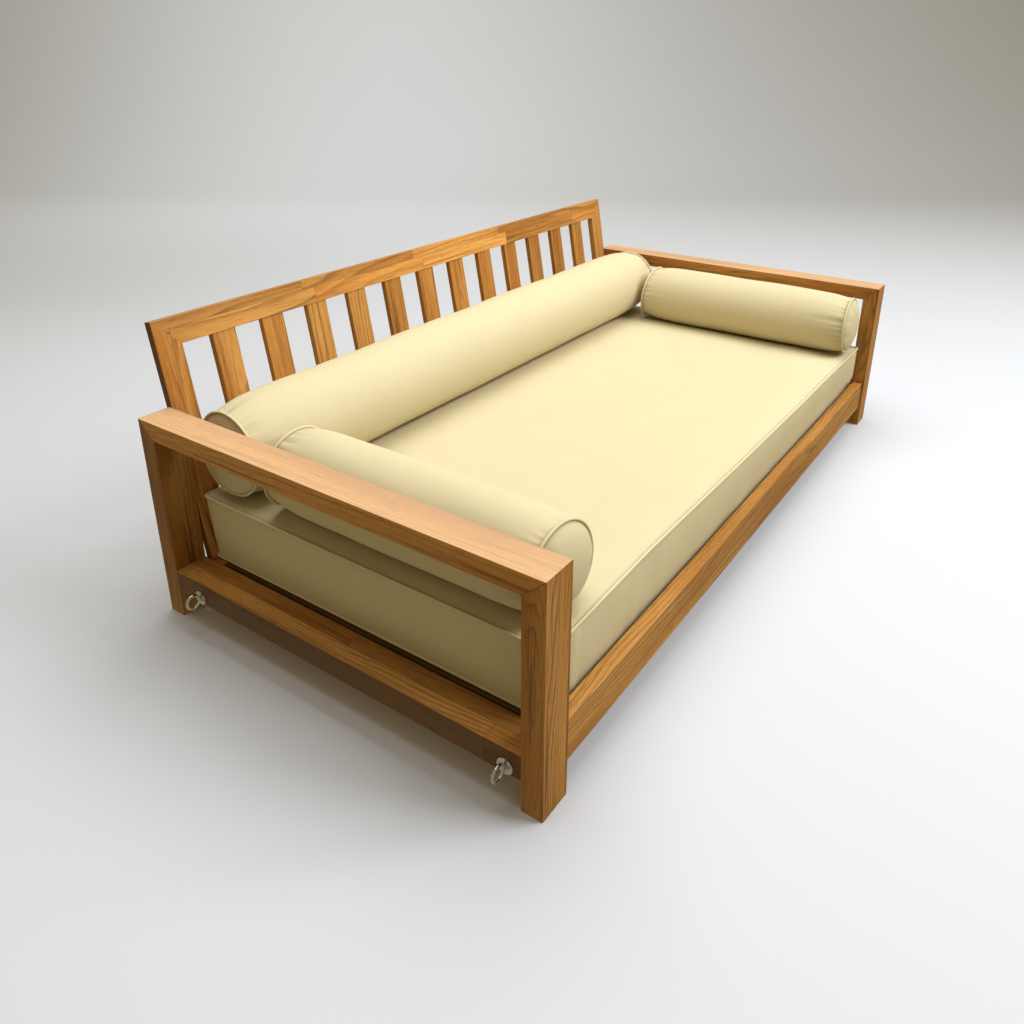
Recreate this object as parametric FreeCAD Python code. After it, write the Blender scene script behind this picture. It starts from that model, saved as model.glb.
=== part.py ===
# Daybed: two mitred end frames joined by long rails, a leaning slatted back bolted between the
# arms, a slatted base, four through eye bolts, and a loose mattress with three bolsters.
# Millimetres. +X to the right, +Y to the back, +Z up, the front at -Y. Shapes are drawn with Y = 0
# midway between the front and rear posts, and written with the origin on the floor under the
# middle of the whole object, whose back leans out past the posts.
import FreeCAD, Part
import math
import os

# ---- overall frame ----
LENGTH = 2080.0          # over both end frames, along X
DEPTH = 1045.0           # over both posts, along Y
ARM_HEIGHT = 490.0       # floor to the top of the arm

# ---- end frames ----
FRAME_WIDTH = 77.0       # timber width along X, the same for post, arm and end rail
POST_DEPTH = 47.0
ARM_THICK = 42.0
END_RAIL_BOTTOM = 68.0
END_RAIL_HEIGHT = 54.0
EDGE_ROUND = 1.2         # eased outer edges of the square timber

# ---- long rails ----
RAIL_THICK = 31.5
RAIL_SETBACK = 6.5       # front rail behind the face of the posts
FRONT_RAIL_BOTTOM = 65.0
FRONT_RAIL_HEIGHT = 90.0
REAR_RAIL_BOTTOM = 65.0
REAR_RAIL_GAP = 2.5      # rear rail to the feet of the back

# ---- slatted base ----
BASE_TOP = 123.5         # top of the slats, which the mattress lies on
BASE_SLATS = 13
BASE_SLAT_WIDTH = 75.0
BASE_SLAT_THICK = 18.0
BASE_END_GAP = 4.0       # end frame to the first and last slat
SLAT_PLAY = 1.5          # slat end to rail
CLEAT_WIDTH = 25.0
CLEAT_HEIGHT = 30.0
CLEAT_END_GAP = 12.0

# ---- leaning back ----
BACK_LEAN = 9.8          # degrees from upright
BACK_FOOT_INSET = 90.0   # where the plane of the back's front face meets the floor, ahead of the
                         # back of the rear posts
BACK_THICK = 20.0
BACK_HEIGHT = 679.0      # floor to the front top edge
BACK_FOOT_HEIGHT = 68.0  # floor to the foot of the stiles
BACK_SIDE_GAP = 2.0      # stile to end frame
STILE_WIDTH = 64.0
TOP_RAIL_WIDTH = 63.0
LOW_RAIL_WIDTH = 60.0
LOW_RAIL_BOTTOM = 150.0  # along the stile, from the floor line
BACK_SLATS = 12
BACK_SLAT_WIDTH = 64.0
BACK_SLAT_THICK = 14.0
SLAT_HOUSING = 14.0      # depth of the slat ends in the back's rails

# ---- joinery ----
TENON_LENGTH = 30.0      # end rail into post
TENON_WIDTH = 20.0
TENON_SHOULDER = 10.0    # shoulder above and below a tenon
RAIL_TENON_LENGTH = 22.0  # long rail into the end frame
RAIL_TENON_THICK = 16.0
RAIL_TENON_SHOULDER = 15.0
LOW_RAIL_TENON = 18.0
LOW_RAIL_TENON_THICK = 10.0
JOINT_PLAY = 0.1         # glue space round a tenon, slat end or dowel
DOWEL_RADIUS = 4.0
DOWEL_LENGTH = 32.0
DOWEL_SPREAD = 20.0      # dowels either side of the middle of a mitre

# ---- fasteners ----
EYE_FRONT_INSET = 79.0   # front eye bolt behind the front of the frame
EYE_REAR_INSET = 128.0   # rear eye bolt in front of the back of the frame
EYE_HEIGHT = 84.0
EYE_WIRE_RADIUS = 3.0
EYE_LOOP_RADIUS = 15.5   # to the middle of the wire
EYE_CLEARANCE = 0.5      # eye to its washer
SHANK_RADIUS = 4.0
SHANK_PLAY = 0.5
WASHER_THICK = 2.0
OUTER_WASHER_RADIUS = 17.0
INNER_WASHER_RADIUS = 11.0
NUT_FLATS = 13.0
NUT_THICK = 6.5
THREAD_PROUD = 3.0
BACK_BOLT_HEIGHTS = (95.0, 340.0)
BACK_BOLT_RADIUS = 3.0
BACK_BOLT_HEAD_RADIUS = 5.5
BACK_BOLT_HEAD = 4.0
BACK_BOLT_GRIP = 24.0    # bolt past the stile, into its insert
INSERT_RADIUS = 5.5
INSERT_LENGTH = 26.0
SCREW_RADIUS = 2.0
SCREW_HEAD_RADIUS = 4.0
SCREW_HEAD = 2.5
SLAT_SCREW_LENGTH = 38.0
CLEAT_SCREW_LENGTH = 45.0
CLEAT_SCREWS = 8
CLEAT_SCREW_END = 100.0  # first and last screw from the ends of a cleat
OVERRUN = 1.0            # cuts and tenons run this far past the face they meet

# ---- mattress ----
MATTRESS_TOP = 282.0
MATTRESS_END_GAP = 15.0    # mattress end to end frame
MATTRESS_FRONT_GAP = 12.0  # mattress to front rail
MATTRESS_BACK_GAP = 1.0    # foot of the mattress's rear face to the leaning back
MATTRESS_CORNER = 14.0
MATTRESS_EDGE = 6.0
LIE_GAP = 0.5              # loose piece above what it lies on
COVER_THICK = 14.0         # cover with its wadding, outside the core
CORE_GAP = 0.5             # core to cover
CORE_ROUND = 3.0           # least rounding of a core's edges
ROUND_SHARE = 0.95         # rim rounding against the upright corners it runs into
SAME_HEIGHT = 0.1          # edges this near a face's height belong to it

# ---- bolsters ----
BACK_BOLSTER_RADIUS = 117.0
BACK_BOLSTER_REST = 0.8    # bolster to the plane of the back
BOLSTER_END_GAP = 19.0     # back bolster end to end frame
SIDE_BOLSTER_RADIUS = 101.0
SIDE_BOLSTER_GAP = 3.0     # side bolster to end frame
LEFT_BOLSTER_FRONT = 55.0  # front end of the left bolster behind the front of the frame
RIGHT_BOLSTER_FRONT = 32.0
BOLSTER_CORNER_GAP = 2.5   # side bolster end to back bolster
BACK_BOLSTER_ROUND = 24.0
SIDE_BOLSTER_ROUND = 34.0

# ---- places that follow from the sizes ----
HALF_LENGTH = LENGTH / 2
HALF_DEPTH = DEPTH / 2
INNER_X = HALF_LENGTH - FRAME_WIDTH
ARM_UNDER = ARM_HEIGHT - ARM_THICK
END_RAIL_TOP = END_RAIL_BOTTOM + END_RAIL_HEIGHT
POST_INNER_Y = HALF_DEPTH - POST_DEPTH
FRONT_RAIL_Y = -HALF_DEPTH + RAIL_SETBACK
FRONT_RAIL_INNER_Y = FRONT_RAIL_Y + RAIL_THICK
FRONT_RAIL_TOP = FRONT_RAIL_BOTTOM + FRONT_RAIL_HEIGHT
REAR_RAIL_TOP = BASE_TOP - LIE_GAP
LEAN = math.radians(BACK_LEAN)
BACK_FOOT_Y = HALF_DEPTH - BACK_FOOT_INSET
REAR_RAIL_BACK_Y = BACK_FOOT_Y + REAR_RAIL_BOTTOM * math.tan(LEAN) - REAR_RAIL_GAP
REAR_RAIL_Y = REAR_RAIL_BACK_Y - RAIL_THICK
SLAT_BOTTOM = BASE_TOP - BASE_SLAT_THICK
CLEAT_BOTTOM = SLAT_BOTTOM - CLEAT_HEIGHT
STILE_OUTER_X = INNER_X - BACK_SIDE_GAP
STILE_INNER_X = STILE_OUTER_X - STILE_WIDTH
BACK_TOP = BACK_HEIGHT / math.cos(LEAN)
STILE_FOOT = BACK_FOOT_HEIGHT / math.cos(LEAN)
TOP_RAIL_UNDER = BACK_TOP - TOP_RAIL_WIDTH
LOW_RAIL_TOP = LOW_RAIL_BOTTOM + LOW_RAIL_WIDTH
EYE_OUT = WASHER_THICK + EYE_CLEARANCE + EYE_WIRE_RADIUS + EYE_LOOP_RADIUS
MATTRESS_FRONT_Y = FRONT_RAIL_INNER_Y + MATTRESS_FRONT_GAP
MATTRESS_HALF = INNER_X - MATTRESS_END_GAP
MATTRESS_BOTTOM = BASE_TOP + LIE_GAP
REARMOST_Y = BACK_FOOT_Y + BACK_TOP * math.sin(LEAN) + BACK_THICK * math.cos(LEAN)
MIDDLE_Y = (REARMOST_Y - HALF_DEPTH) / 2


def box(x0, x1, y0, y1, z0, z1):
    return Part.makeBox(x1 - x0, y1 - y0, z1 - z0, FreeCAD.Vector(x0, y0, z0))


def rod(radius, length, start, direction):
    return Part.makeCylinder(radius, length, FreeCAD.Vector(*start), FreeCAD.Vector(*direction))


def prism_x(points_yz, x0, x1):
    corners = [FreeCAD.Vector(x0, y, z) for y, z in points_yz]
    face = Part.Face(Part.makePolygon(corners + corners[:1]))
    return face.extrude(FreeCAD.Vector(x1 - x0, 0, 0))


def ease_edges(shape, radius, wanted):
    edges = [edge for edge in shape.Edges if wanted(edge)]
    return shape.makeFillet(radius, edges)


def mirror_x(shape):
    return shape.mirror(FreeCAD.Vector(0, 0, 0), FreeCAD.Vector(1, 0, 0))


def lean_back(shape):
    """Place a board drawn upright, its front face at Y = 0, in the plane of the back."""
    placed = shape.copy()
    placed.rotate(FreeCAD.Vector(0, 0, 0), FreeCAD.Vector(1, 0, 0), -BACK_LEAN)
    placed.translate(FreeCAD.Vector(0, BACK_FOOT_Y, 0))
    return placed


def along(edge, axis):
    if edge.Curve.TypeId != "Part::GeomLine":
        return False
    return abs(getattr(edge.tangentAt(edge.FirstParameter), axis)) > 0.999


def long_edges(axis, length):
    return lambda edge: along(edge, axis) and edge.Length > length


def export(name, shape):
    placed = shape.copy()
    placed.translate(FreeCAD.Vector(0, -MIDDLE_Y, 0))
    placed.exportStep(os.path.join("parts", name + ".step"))


# ---- dowels ----
def mitre_dowels(y, z, axis, places_x, extra=0.0):
    """Dowels square to a mitre whose middle is at y, z; axis is the mitre's normal."""
    half = DOWEL_LENGTH / 2 + extra
    start_y = y - axis[0] * half
    start_z = z - axis[1] * half
    return [rod(DOWEL_RADIUS + extra, 2 * half, (x, start_y, start_z), (0, axis[0], axis[1]))
            for x in places_x]


def arm_dowels(extra=0.0):
    """The dowels of the left end frame's two mitres."""
    size = math.hypot(ARM_THICK, POST_DEPTH)
    middle_x = -HALF_LENGTH + FRAME_WIDTH / 2
    places = (middle_x - DOWEL_SPREAD, middle_x + DOWEL_SPREAD)
    middle_y = HALF_DEPTH - POST_DEPTH / 2
    middle_z = ARM_HEIGHT - ARM_THICK / 2
    dowels = []
    for side in (-1, 1):
        axis = (-side * ARM_THICK / size, POST_DEPTH / size)
        dowels += mitre_dowels(side * middle_y, middle_z, axis, places, extra)
    return dowels


def back_dowels(extra=0.0):
    """One dowel in each mitre of the back's frame, drawn upright."""
    size = math.hypot(STILE_WIDTH, TOP_RAIL_WIDTH)
    half = DOWEL_LENGTH / 2 + extra
    dowels = []
    for side in (-1, 1):
        axis = (-side * TOP_RAIL_WIDTH / size, STILE_WIDTH / size)
        middle_x = side * (STILE_OUTER_X - STILE_WIDTH / 2)
        middle_z = BACK_TOP - TOP_RAIL_WIDTH / 2
        start = (middle_x - axis[0] * half, BACK_THICK / 2, middle_z - axis[1] * half)
        dowels.append(rod(DOWEL_RADIUS + extra, 2 * half, start, (axis[0], 0, axis[1])))
    return dowels


# ---- fasteners of the left side; the right side is their mirror image ----
def eye_places():
    return {"front": -HALF_DEPTH + EYE_FRONT_INSET, "rear": HALF_DEPTH - EYE_REAR_INSET}


def eye_bolt(y):
    centre_x = -HALF_LENGTH - EYE_OUT
    loop = Part.makeTorus(EYE_LOOP_RADIUS, EYE_WIRE_RADIUS, FreeCAD.Vector(centre_x, y, EYE_HEIGHT),
                          FreeCAD.Vector(0, 1, 0))
    shank_start = centre_x + EYE_LOOP_RADIUS
    shank_end = -INNER_X + WASHER_THICK + NUT_THICK + THREAD_PROUD
    shank = rod(SHANK_RADIUS, shank_end - shank_start, (shank_start, y, EYE_HEIGHT), (1, 0, 0))
    shank = shank.makeChamfer(1.0, [edge for edge in shank.Edges if edge.CenterOfMass.x > -INNER_X])
    return loop.fuse(shank).removeSplitter()


def washer(radius, x0, y):
    disc = rod(radius, WASHER_THICK, (x0, y, EYE_HEIGHT), (1, 0, 0))
    hole = rod(SHANK_RADIUS + SHANK_PLAY / 2, WASHER_THICK, (x0, y, EYE_HEIGHT), (1, 0, 0))
    return disc.cut(hole)


def hex_nut(x0, y):
    corner = NUT_FLATS / 2 / math.cos(math.pi / 6)
    points = []
    for step in range(6):
        angle = math.radians(60 * step + 30)
        points.append((y + corner * math.cos(angle), EYE_HEIGHT + corner * math.sin(angle)))
    nut = prism_x(points, x0, x0 + NUT_THICK)
    return nut.cut(rod(SHANK_RADIUS, NUT_THICK, (x0, y, EYE_HEIGHT), (1, 0, 0)))


def shank_holes():
    reach = FRAME_WIDTH + 2 * OVERRUN
    start_x = -HALF_LENGTH - OVERRUN
    return [rod(SHANK_RADIUS + SHANK_PLAY, reach, (start_x, y, EYE_HEIGHT), (1, 0, 0))
            for y in eye_places().values()]


def back_bolt_y(height):
    return BACK_FOOT_Y + height * math.tan(LEAN) + BACK_THICK / 2 / math.cos(LEAN)


def back_bolt(height):
    y = back_bolt_y(height)
    length = STILE_WIDTH + BACK_SIDE_GAP + BACK_BOLT_GRIP
    shank = rod(BACK_BOLT_RADIUS, length, (-STILE_INNER_X, y, height), (-1, 0, 0))
    head = rod(BACK_BOLT_HEAD_RADIUS, BACK_BOLT_HEAD, (-STILE_INNER_X, y, height), (1, 0, 0))
    rim = [edge for edge in head.Edges if edge.CenterOfMass.x > -STILE_INNER_X + BACK_BOLT_HEAD / 2
           and edge.Curve.TypeId == "Part::GeomCircle"]
    head = head.makeFillet(BACK_BOLT_HEAD / 2, rim)
    socket = rod(BACK_BOLT_HEAD_RADIUS / 2, BACK_BOLT_HEAD / 2,
                 (-STILE_INNER_X + BACK_BOLT_HEAD, y, height), (-1, 0, 0))
    return head.cut(socket).fuse(shank).removeSplitter()


def back_bolt_hole(height):
    y = back_bolt_y(height)
    return rod(BACK_BOLT_RADIUS + SHANK_PLAY / 2, FRAME_WIDTH + STILE_WIDTH,
               (-STILE_INNER_X, y, height), (-1, 0, 0))


def insert(height):
    y = back_bolt_y(height)
    start = (-INNER_X, y, height)
    sleeve = rod(INSERT_RADIUS, INSERT_LENGTH, start, (-1, 0, 0))
    return sleeve.cut(rod(BACK_BOLT_RADIUS, INSERT_LENGTH, start, (-1, 0, 0)))


def insert_pocket(height):
    y = back_bolt_y(height)
    return rod(INSERT_RADIUS, INSERT_LENGTH, (-INNER_X, y, height), (-1, 0, 0))


def screw(place, direction, length):
    """A countersunk screw whose head is flush at place."""
    head = Part.makeCone(SCREW_HEAD_RADIUS, SCREW_RADIUS, SCREW_HEAD, FreeCAD.Vector(*place),
                         FreeCAD.Vector(*direction))
    return head.fuse(rod(SCREW_RADIUS, length, place, direction)).removeSplitter()


# ---- end frames ----
def left_arm_rail():
    rail = prism_x([(-HALF_DEPTH, ARM_HEIGHT), (HALF_DEPTH, ARM_HEIGHT),
                    (POST_INNER_Y, ARM_UNDER), (-POST_INNER_Y, ARM_UNDER)], -HALF_LENGTH, -INNER_X)
    rail = ease_edges(rail, EDGE_ROUND, long_edges("y", POST_INNER_Y))
    for dowel in arm_dowels(JOINT_PLAY / 2):
        rail = rail.cut(dowel)
    return rail


def end_rail_tenon(side, play=0.0):
    middle_x = -HALF_LENGTH + FRAME_WIDTH / 2
    half = TENON_WIDTH / 2 + play
    y_near = side * (POST_INNER_Y - OVERRUN)
    y_far = side * (POST_INNER_Y + TENON_LENGTH + play)
    return box(middle_x - half, middle_x + half, min(y_near, y_far), max(y_near, y_far),
               END_RAIL_BOTTOM + TENON_SHOULDER - play, END_RAIL_TOP - TENON_SHOULDER + play)


def long_rail_tenon(y_rail, bottom, top, play=0.0):
    """The left tenon of a long rail, or its mortise with play."""
    middle_y = y_rail + RAIL_THICK / 2
    half = RAIL_TENON_THICK / 2 + play
    return box(-INNER_X - RAIL_TENON_LENGTH - play, -INNER_X + OVERRUN, middle_y - half, middle_y + half,
               bottom + RAIL_TENON_SHOULDER - play, top - RAIL_TENON_SHOULDER + play)


def left_post(side):
    post = prism_x([(side * HALF_DEPTH, 0), (side * POST_INNER_Y, 0),
                    (side * POST_INNER_Y, ARM_UNDER), (side * HALF_DEPTH, ARM_HEIGHT)],
                   -HALF_LENGTH, -INNER_X)
    post = ease_edges(post, EDGE_ROUND, long_edges("z", ARM_UNDER - 1))
    cuts = arm_dowels(JOINT_PLAY / 2) + [end_rail_tenon(side, JOINT_PLAY)]
    if side < 0:
        cuts.append(long_rail_tenon(FRONT_RAIL_Y, FRONT_RAIL_BOTTOM, FRONT_RAIL_TOP, JOINT_PLAY))
    else:
        cuts.append(insert_pocket(BACK_BOLT_HEIGHTS[1]))
    for tool in cuts:
        post = post.cut(tool)
    return post


def left_end_rail():
    rail = box(-HALF_LENGTH, -INNER_X, -POST_INNER_Y, POST_INNER_Y, END_RAIL_BOTTOM, END_RAIL_TOP)
    rail = ease_edges(rail, EDGE_ROUND, long_edges("y", POST_INNER_Y))
    for side in (-1, 1):
        rail = rail.fuse(end_rail_tenon(side))
    rail = rail.removeSplitter()
    rail = rail.cut(long_rail_tenon(REAR_RAIL_Y, REAR_RAIL_BOTTOM, REAR_RAIL_TOP, JOINT_PLAY))
    for hole in shank_holes() + [insert_pocket(BACK_BOLT_HEIGHTS[0])]:
        rail = rail.cut(hole)
    return rail


# ---- long rails, cleats and slats of the base ----
def long_rail(y_rail, bottom, top):
    rail = box(-INNER_X, INNER_X, y_rail, y_rail + RAIL_THICK, bottom, top)
    rail = ease_edges(rail, EDGE_ROUND, long_edges("x", INNER_X))
    tenon = long_rail_tenon(y_rail, bottom, top)
    return rail.fuse(tenon).fuse(mirror_x(tenon)).removeSplitter()


def cleat_screws(side):
    """Screws through a cleat into its rail: side -1 is the front cleat, 1 the rear."""
    face_y = FRONT_RAIL_INNER_Y + CLEAT_WIDTH if side < 0 else REAR_RAIL_Y - CLEAT_WIDTH
    first = -INNER_X + CLEAT_END_GAP + CLEAT_SCREW_END
    pitch = -2 * first / (CLEAT_SCREWS - 1)
    height = CLEAT_BOTTOM + CLEAT_HEIGHT / 2
    return [screw((first + pitch * number, face_y, height), (0, side, 0), CLEAT_SCREW_LENGTH)
            for number in range(CLEAT_SCREWS)]


def base_slat_middles():
    first = -INNER_X + BASE_END_GAP + BASE_SLAT_WIDTH / 2
    pitch = -2 * first / (BASE_SLATS - 1)
    return [first + pitch * number for number in range(BASE_SLATS)]


def slat_screws(middle_x):
    front_y = FRONT_RAIL_INNER_Y + CLEAT_WIDTH / 2
    rear_y = REAR_RAIL_Y - CLEAT_WIDTH / 2
    return [screw((middle_x, y, BASE_TOP), (0, 0, -1), SLAT_SCREW_LENGTH) for y in (front_y, rear_y)]


def cleat(side):
    y0 = FRONT_RAIL_INNER_Y if side < 0 else REAR_RAIL_Y - CLEAT_WIDTH
    end_x = INNER_X - CLEAT_END_GAP
    strip = box(-end_x, end_x, y0, y0 + CLEAT_WIDTH, CLEAT_BOTTOM, SLAT_BOTTOM)
    for middle_x in base_slat_middles():
        for fixing in slat_screws(middle_x):
            strip = strip.cut(fixing)
    for fixing in cleat_screws(side):
        strip = strip.cut(fixing)
    return strip


def base_slat(middle_x):
    half = BASE_SLAT_WIDTH / 2
    slat = box(middle_x - half, middle_x + half, FRONT_RAIL_INNER_Y + SLAT_PLAY,
               REAR_RAIL_Y - SLAT_PLAY, SLAT_BOTTOM, BASE_TOP)
    slat = ease_edges(slat, EDGE_ROUND, long_edges("y", half * 4))
    for fixing in slat_screws(middle_x):
        slat = slat.cut(fixing)
    return slat


# ---- the leaning back, drawn upright and then leaned ----
def board(points_xz, y0=0.0, thick=BACK_THICK):
    corners = [FreeCAD.Vector(x, y0, z) for x, z in points_xz]
    face = Part.Face(Part.makePolygon(corners + corners[:1]))
    return face.extrude(FreeCAD.Vector(0, thick, 0))


def low_rail_tenon(play=0.0):
    """The left tenon of the back's lower rail."""
    half = LOW_RAIL_TENON_THICK / 2 + play
    return box(-STILE_INNER_X - LOW_RAIL_TENON - play, -STILE_INNER_X + OVERRUN, BACK_THICK / 2 - half,
               BACK_THICK / 2 + half, LOW_RAIL_BOTTOM + TENON_SHOULDER - play,
               LOW_RAIL_TOP - TENON_SHOULDER + play)


def left_stile():
    stile = board([(-STILE_OUTER_X, STILE_FOOT), (-STILE_INNER_X, STILE_FOOT),
                   (-STILE_INNER_X, TOP_RAIL_UNDER), (-STILE_OUTER_X, BACK_TOP)])
    stile = ease_edges(stile, EDGE_ROUND, long_edges("z", TOP_RAIL_UNDER / 2))
    for tool in back_dowels(JOINT_PLAY / 2) + [low_rail_tenon(JOINT_PLAY)]:
        stile = stile.cut(tool)
    stile = lean_back(stile)
    for height in BACK_BOLT_HEIGHTS:
        stile = stile.cut(back_bolt_hole(height))
    return stile


def back_slat_middles():
    gap = (2 * STILE_INNER_X - BACK_SLATS * BACK_SLAT_WIDTH) / (BACK_SLATS + 1)
    pitch = BACK_SLAT_WIDTH + gap
    first = -STILE_INNER_X + gap + BACK_SLAT_WIDTH / 2
    return [first + pitch * number for number in range(BACK_SLATS)]


def back_slat(middle_x, play=0.0):
    half = BACK_SLAT_WIDTH / 2 + play
    thick = BACK_SLAT_THICK + 2 * play
    bottom = LOW_RAIL_TOP - SLAT_HOUSING - play
    top = TOP_RAIL_UNDER + SLAT_HOUSING + play
    return board([(middle_x - half, bottom), (middle_x + half, bottom),
                  (middle_x + half, top), (middle_x - half, top)], (BACK_THICK - thick) / 2, thick)


def back_top_rail():
    rail = board([(-STILE_OUTER_X, BACK_TOP), (STILE_OUTER_X, BACK_TOP),
                  (STILE_INNER_X, TOP_RAIL_UNDER), (-STILE_INNER_X, TOP_RAIL_UNDER)])
    rail = ease_edges(rail, EDGE_ROUND, long_edges("x", INNER_X))
    for tool in back_dowels(JOINT_PLAY / 2) + [back_slat(x, JOINT_PLAY) for x in back_slat_middles()]:
        rail = rail.cut(tool)
    return lean_back(rail)


def back_low_rail():
    rail = board([(-STILE_INNER_X, LOW_RAIL_BOTTOM), (STILE_INNER_X, LOW_RAIL_BOTTOM),
                  (STILE_INNER_X, LOW_RAIL_TOP), (-STILE_INNER_X, LOW_RAIL_TOP)])
    rail = ease_edges(rail, EDGE_ROUND, long_edges("x", STILE_INNER_X))
    rail = rail.fuse(low_rail_tenon()).fuse(mirror_x(low_rail_tenon())).removeSplitter()
    for middle_x in back_slat_middles():
        rail = rail.cut(back_slat(middle_x, JOINT_PLAY))
    return lean_back(rail)


# ---- loose cushions: a cover with its wadding round a core ----
def mattress_body(inset=0.0):
    """The mattress, the foot of its rear face close to the back; inset shrinks it all round."""
    bottom = MATTRESS_BOTTOM + inset
    top = MATTRESS_TOP - inset
    rear_y = BACK_FOOT_Y + MATTRESS_BOTTOM * math.tan(LEAN) - MATTRESS_BACK_GAP
    half = MATTRESS_HALF - inset
    body = box(-half, half, MATTRESS_FRONT_Y + inset, rear_y - inset, bottom, top)
    corner = max(MATTRESS_CORNER - inset, CORE_ROUND)
    body = ease_edges(body, corner, long_edges("z", (top - bottom) / 2))
    rims = [edge for edge in body.Edges if not along(edge, "z")
            and min(abs(edge.CenterOfMass.z - bottom), abs(edge.CenterOfMass.z - top)) < SAME_HEIGHT]
    return body.makeFillet(min(max(MATTRESS_EDGE - inset, CORE_ROUND), corner) * ROUND_SHARE, rims)


def bolster_body(radius, rounding, start, direction, length, inset=0.0):
    """A bolster lying along direction from start, its ends rounded; inset shrinks it."""
    direction = FreeCAD.Vector(*direction)
    begin = FreeCAD.Vector(*start) + direction * inset
    body = Part.makeCylinder(radius - inset, length - 2 * inset, begin, direction)
    rims = [edge for edge in body.Edges if edge.Curve.TypeId == "Part::GeomCircle"]
    return body.makeFillet(rounding - inset, rims)


def back_bolster(inset=0.0):
    centre_z = MATTRESS_TOP + LIE_GAP + BACK_BOLSTER_RADIUS
    reach = (BACK_BOLSTER_RADIUS + BACK_BOLSTER_REST) / math.cos(LEAN)
    centre_y = BACK_FOOT_Y + centre_z * math.tan(LEAN) - reach
    end_x = INNER_X - BOLSTER_END_GAP
    return bolster_body(BACK_BOLSTER_RADIUS, BACK_BOLSTER_ROUND, (-end_x, centre_y, centre_z), (1, 0, 0),
                        2 * end_x, inset)


def side_bolster(front, inset):
    """A bolster along the left arm, from front behind the frame's front to the back bolster."""
    centre_x = -INNER_X + SIDE_BOLSTER_GAP + SIDE_BOLSTER_RADIUS
    centre_z = MATTRESS_TOP + LIE_GAP + SIDE_BOLSTER_RADIUS
    front_y = -HALF_DEPTH + front
    rear_y = back_bolster().BoundBox.YMin - BOLSTER_CORNER_GAP
    return bolster_body(SIDE_BOLSTER_RADIUS, SIDE_BOLSTER_ROUND, (centre_x, front_y, centre_z), (0, 1, 0),
                        rear_y - front_y, inset)


def left_bolster(inset=0.0):
    return side_bolster(LEFT_BOLSTER_FRONT, inset)


def right_bolster(inset=0.0):
    return mirror_x(side_bolster(RIGHT_BOLSTER_FRONT, inset))


def write_cushion(name, make_body):
    export(name + "_cover", make_body().cut(make_body(COVER_THICK)))
    export(name + "_core", make_body(COVER_THICK + CORE_GAP))


# ---- writing the nodes ----
def write_end_frames():
    export("left_arm_rail", left_arm_rail())
    export("right_arm_rail", mirror_x(left_arm_rail()))
    for place, side in (("front", -1), ("rear", 1)):
        post = left_post(side)
        export("left_" + place + "_post", post)
        export("right_" + place + "_post", mirror_x(post))
    export("left_end_rail", left_end_rail())
    export("right_end_rail", mirror_x(left_end_rail()))


def write_base():
    front = long_rail(FRONT_RAIL_Y, FRONT_RAIL_BOTTOM, FRONT_RAIL_TOP)
    rear = long_rail(REAR_RAIL_Y, REAR_RAIL_BOTTOM, REAR_RAIL_TOP)
    for fixing in cleat_screws(-1):
        front = front.cut(fixing)
    for fixing in cleat_screws(1):
        rear = rear.cut(fixing)
    export("front_rail", front)
    export("rear_rail", rear)
    export("front_cleat", cleat(-1))
    export("rear_cleat", cleat(1))
    fixings = []
    for number, middle_x in enumerate(base_slat_middles(), 1):
        export("base_slat_%02d" % number, base_slat(middle_x))
        fixings += slat_screws(middle_x)
    export("slat_screws", Part.makeCompound(fixings))
    export("cleat_screws", Part.makeCompound(cleat_screws(-1) + cleat_screws(1)))


def write_back():
    export("back_left_stile", left_stile())
    export("back_right_stile", mirror_x(left_stile()))
    export("back_top_rail", back_top_rail())
    export("back_low_rail", back_low_rail())
    for number, middle_x in enumerate(back_slat_middles(), 1):
        export("back_slat_%02d" % number, lean_back(back_slat(middle_x)))


def write_fasteners():
    left_dowels = arm_dowels()
    leaned = [lean_back(dowel) for dowel in back_dowels()]
    export("mitre_dowels", Part.makeCompound(left_dowels + [mirror_x(d) for d in left_dowels] + leaned))
    washers = []
    nuts = []
    for place, y in eye_places().items():
        export("left_" + place + "_eye_bolt", eye_bolt(y))
        export("right_" + place + "_eye_bolt", mirror_x(eye_bolt(y)))
        washers.append(washer(OUTER_WASHER_RADIUS, -HALF_LENGTH - WASHER_THICK, y))
        washers.append(washer(INNER_WASHER_RADIUS, -INNER_X, y))
        nuts.append(hex_nut(-INNER_X + WASHER_THICK, y))
    bolts = [back_bolt(height) for height in BACK_BOLT_HEIGHTS]
    inserts = [insert(height) for height in BACK_BOLT_HEIGHTS]
    for name, pieces in (("eye_bolt_washers", washers), ("eye_bolt_nuts", nuts),
                         ("back_bolts", bolts), ("back_bolt_inserts", inserts)):
        export(name, Part.makeCompound(pieces + [mirror_x(piece) for piece in pieces]))


def write_cushions():
    write_cushion("mattress", mattress_body)
    write_cushion("back_bolster", back_bolster)
    write_cushion("left_bolster", left_bolster)
    write_cushion("right_bolster", right_bolster)


os.makedirs("parts", exist_ok=True)
write_end_frames()
write_base()
write_back()
write_fasteners()
write_cushions()
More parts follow.
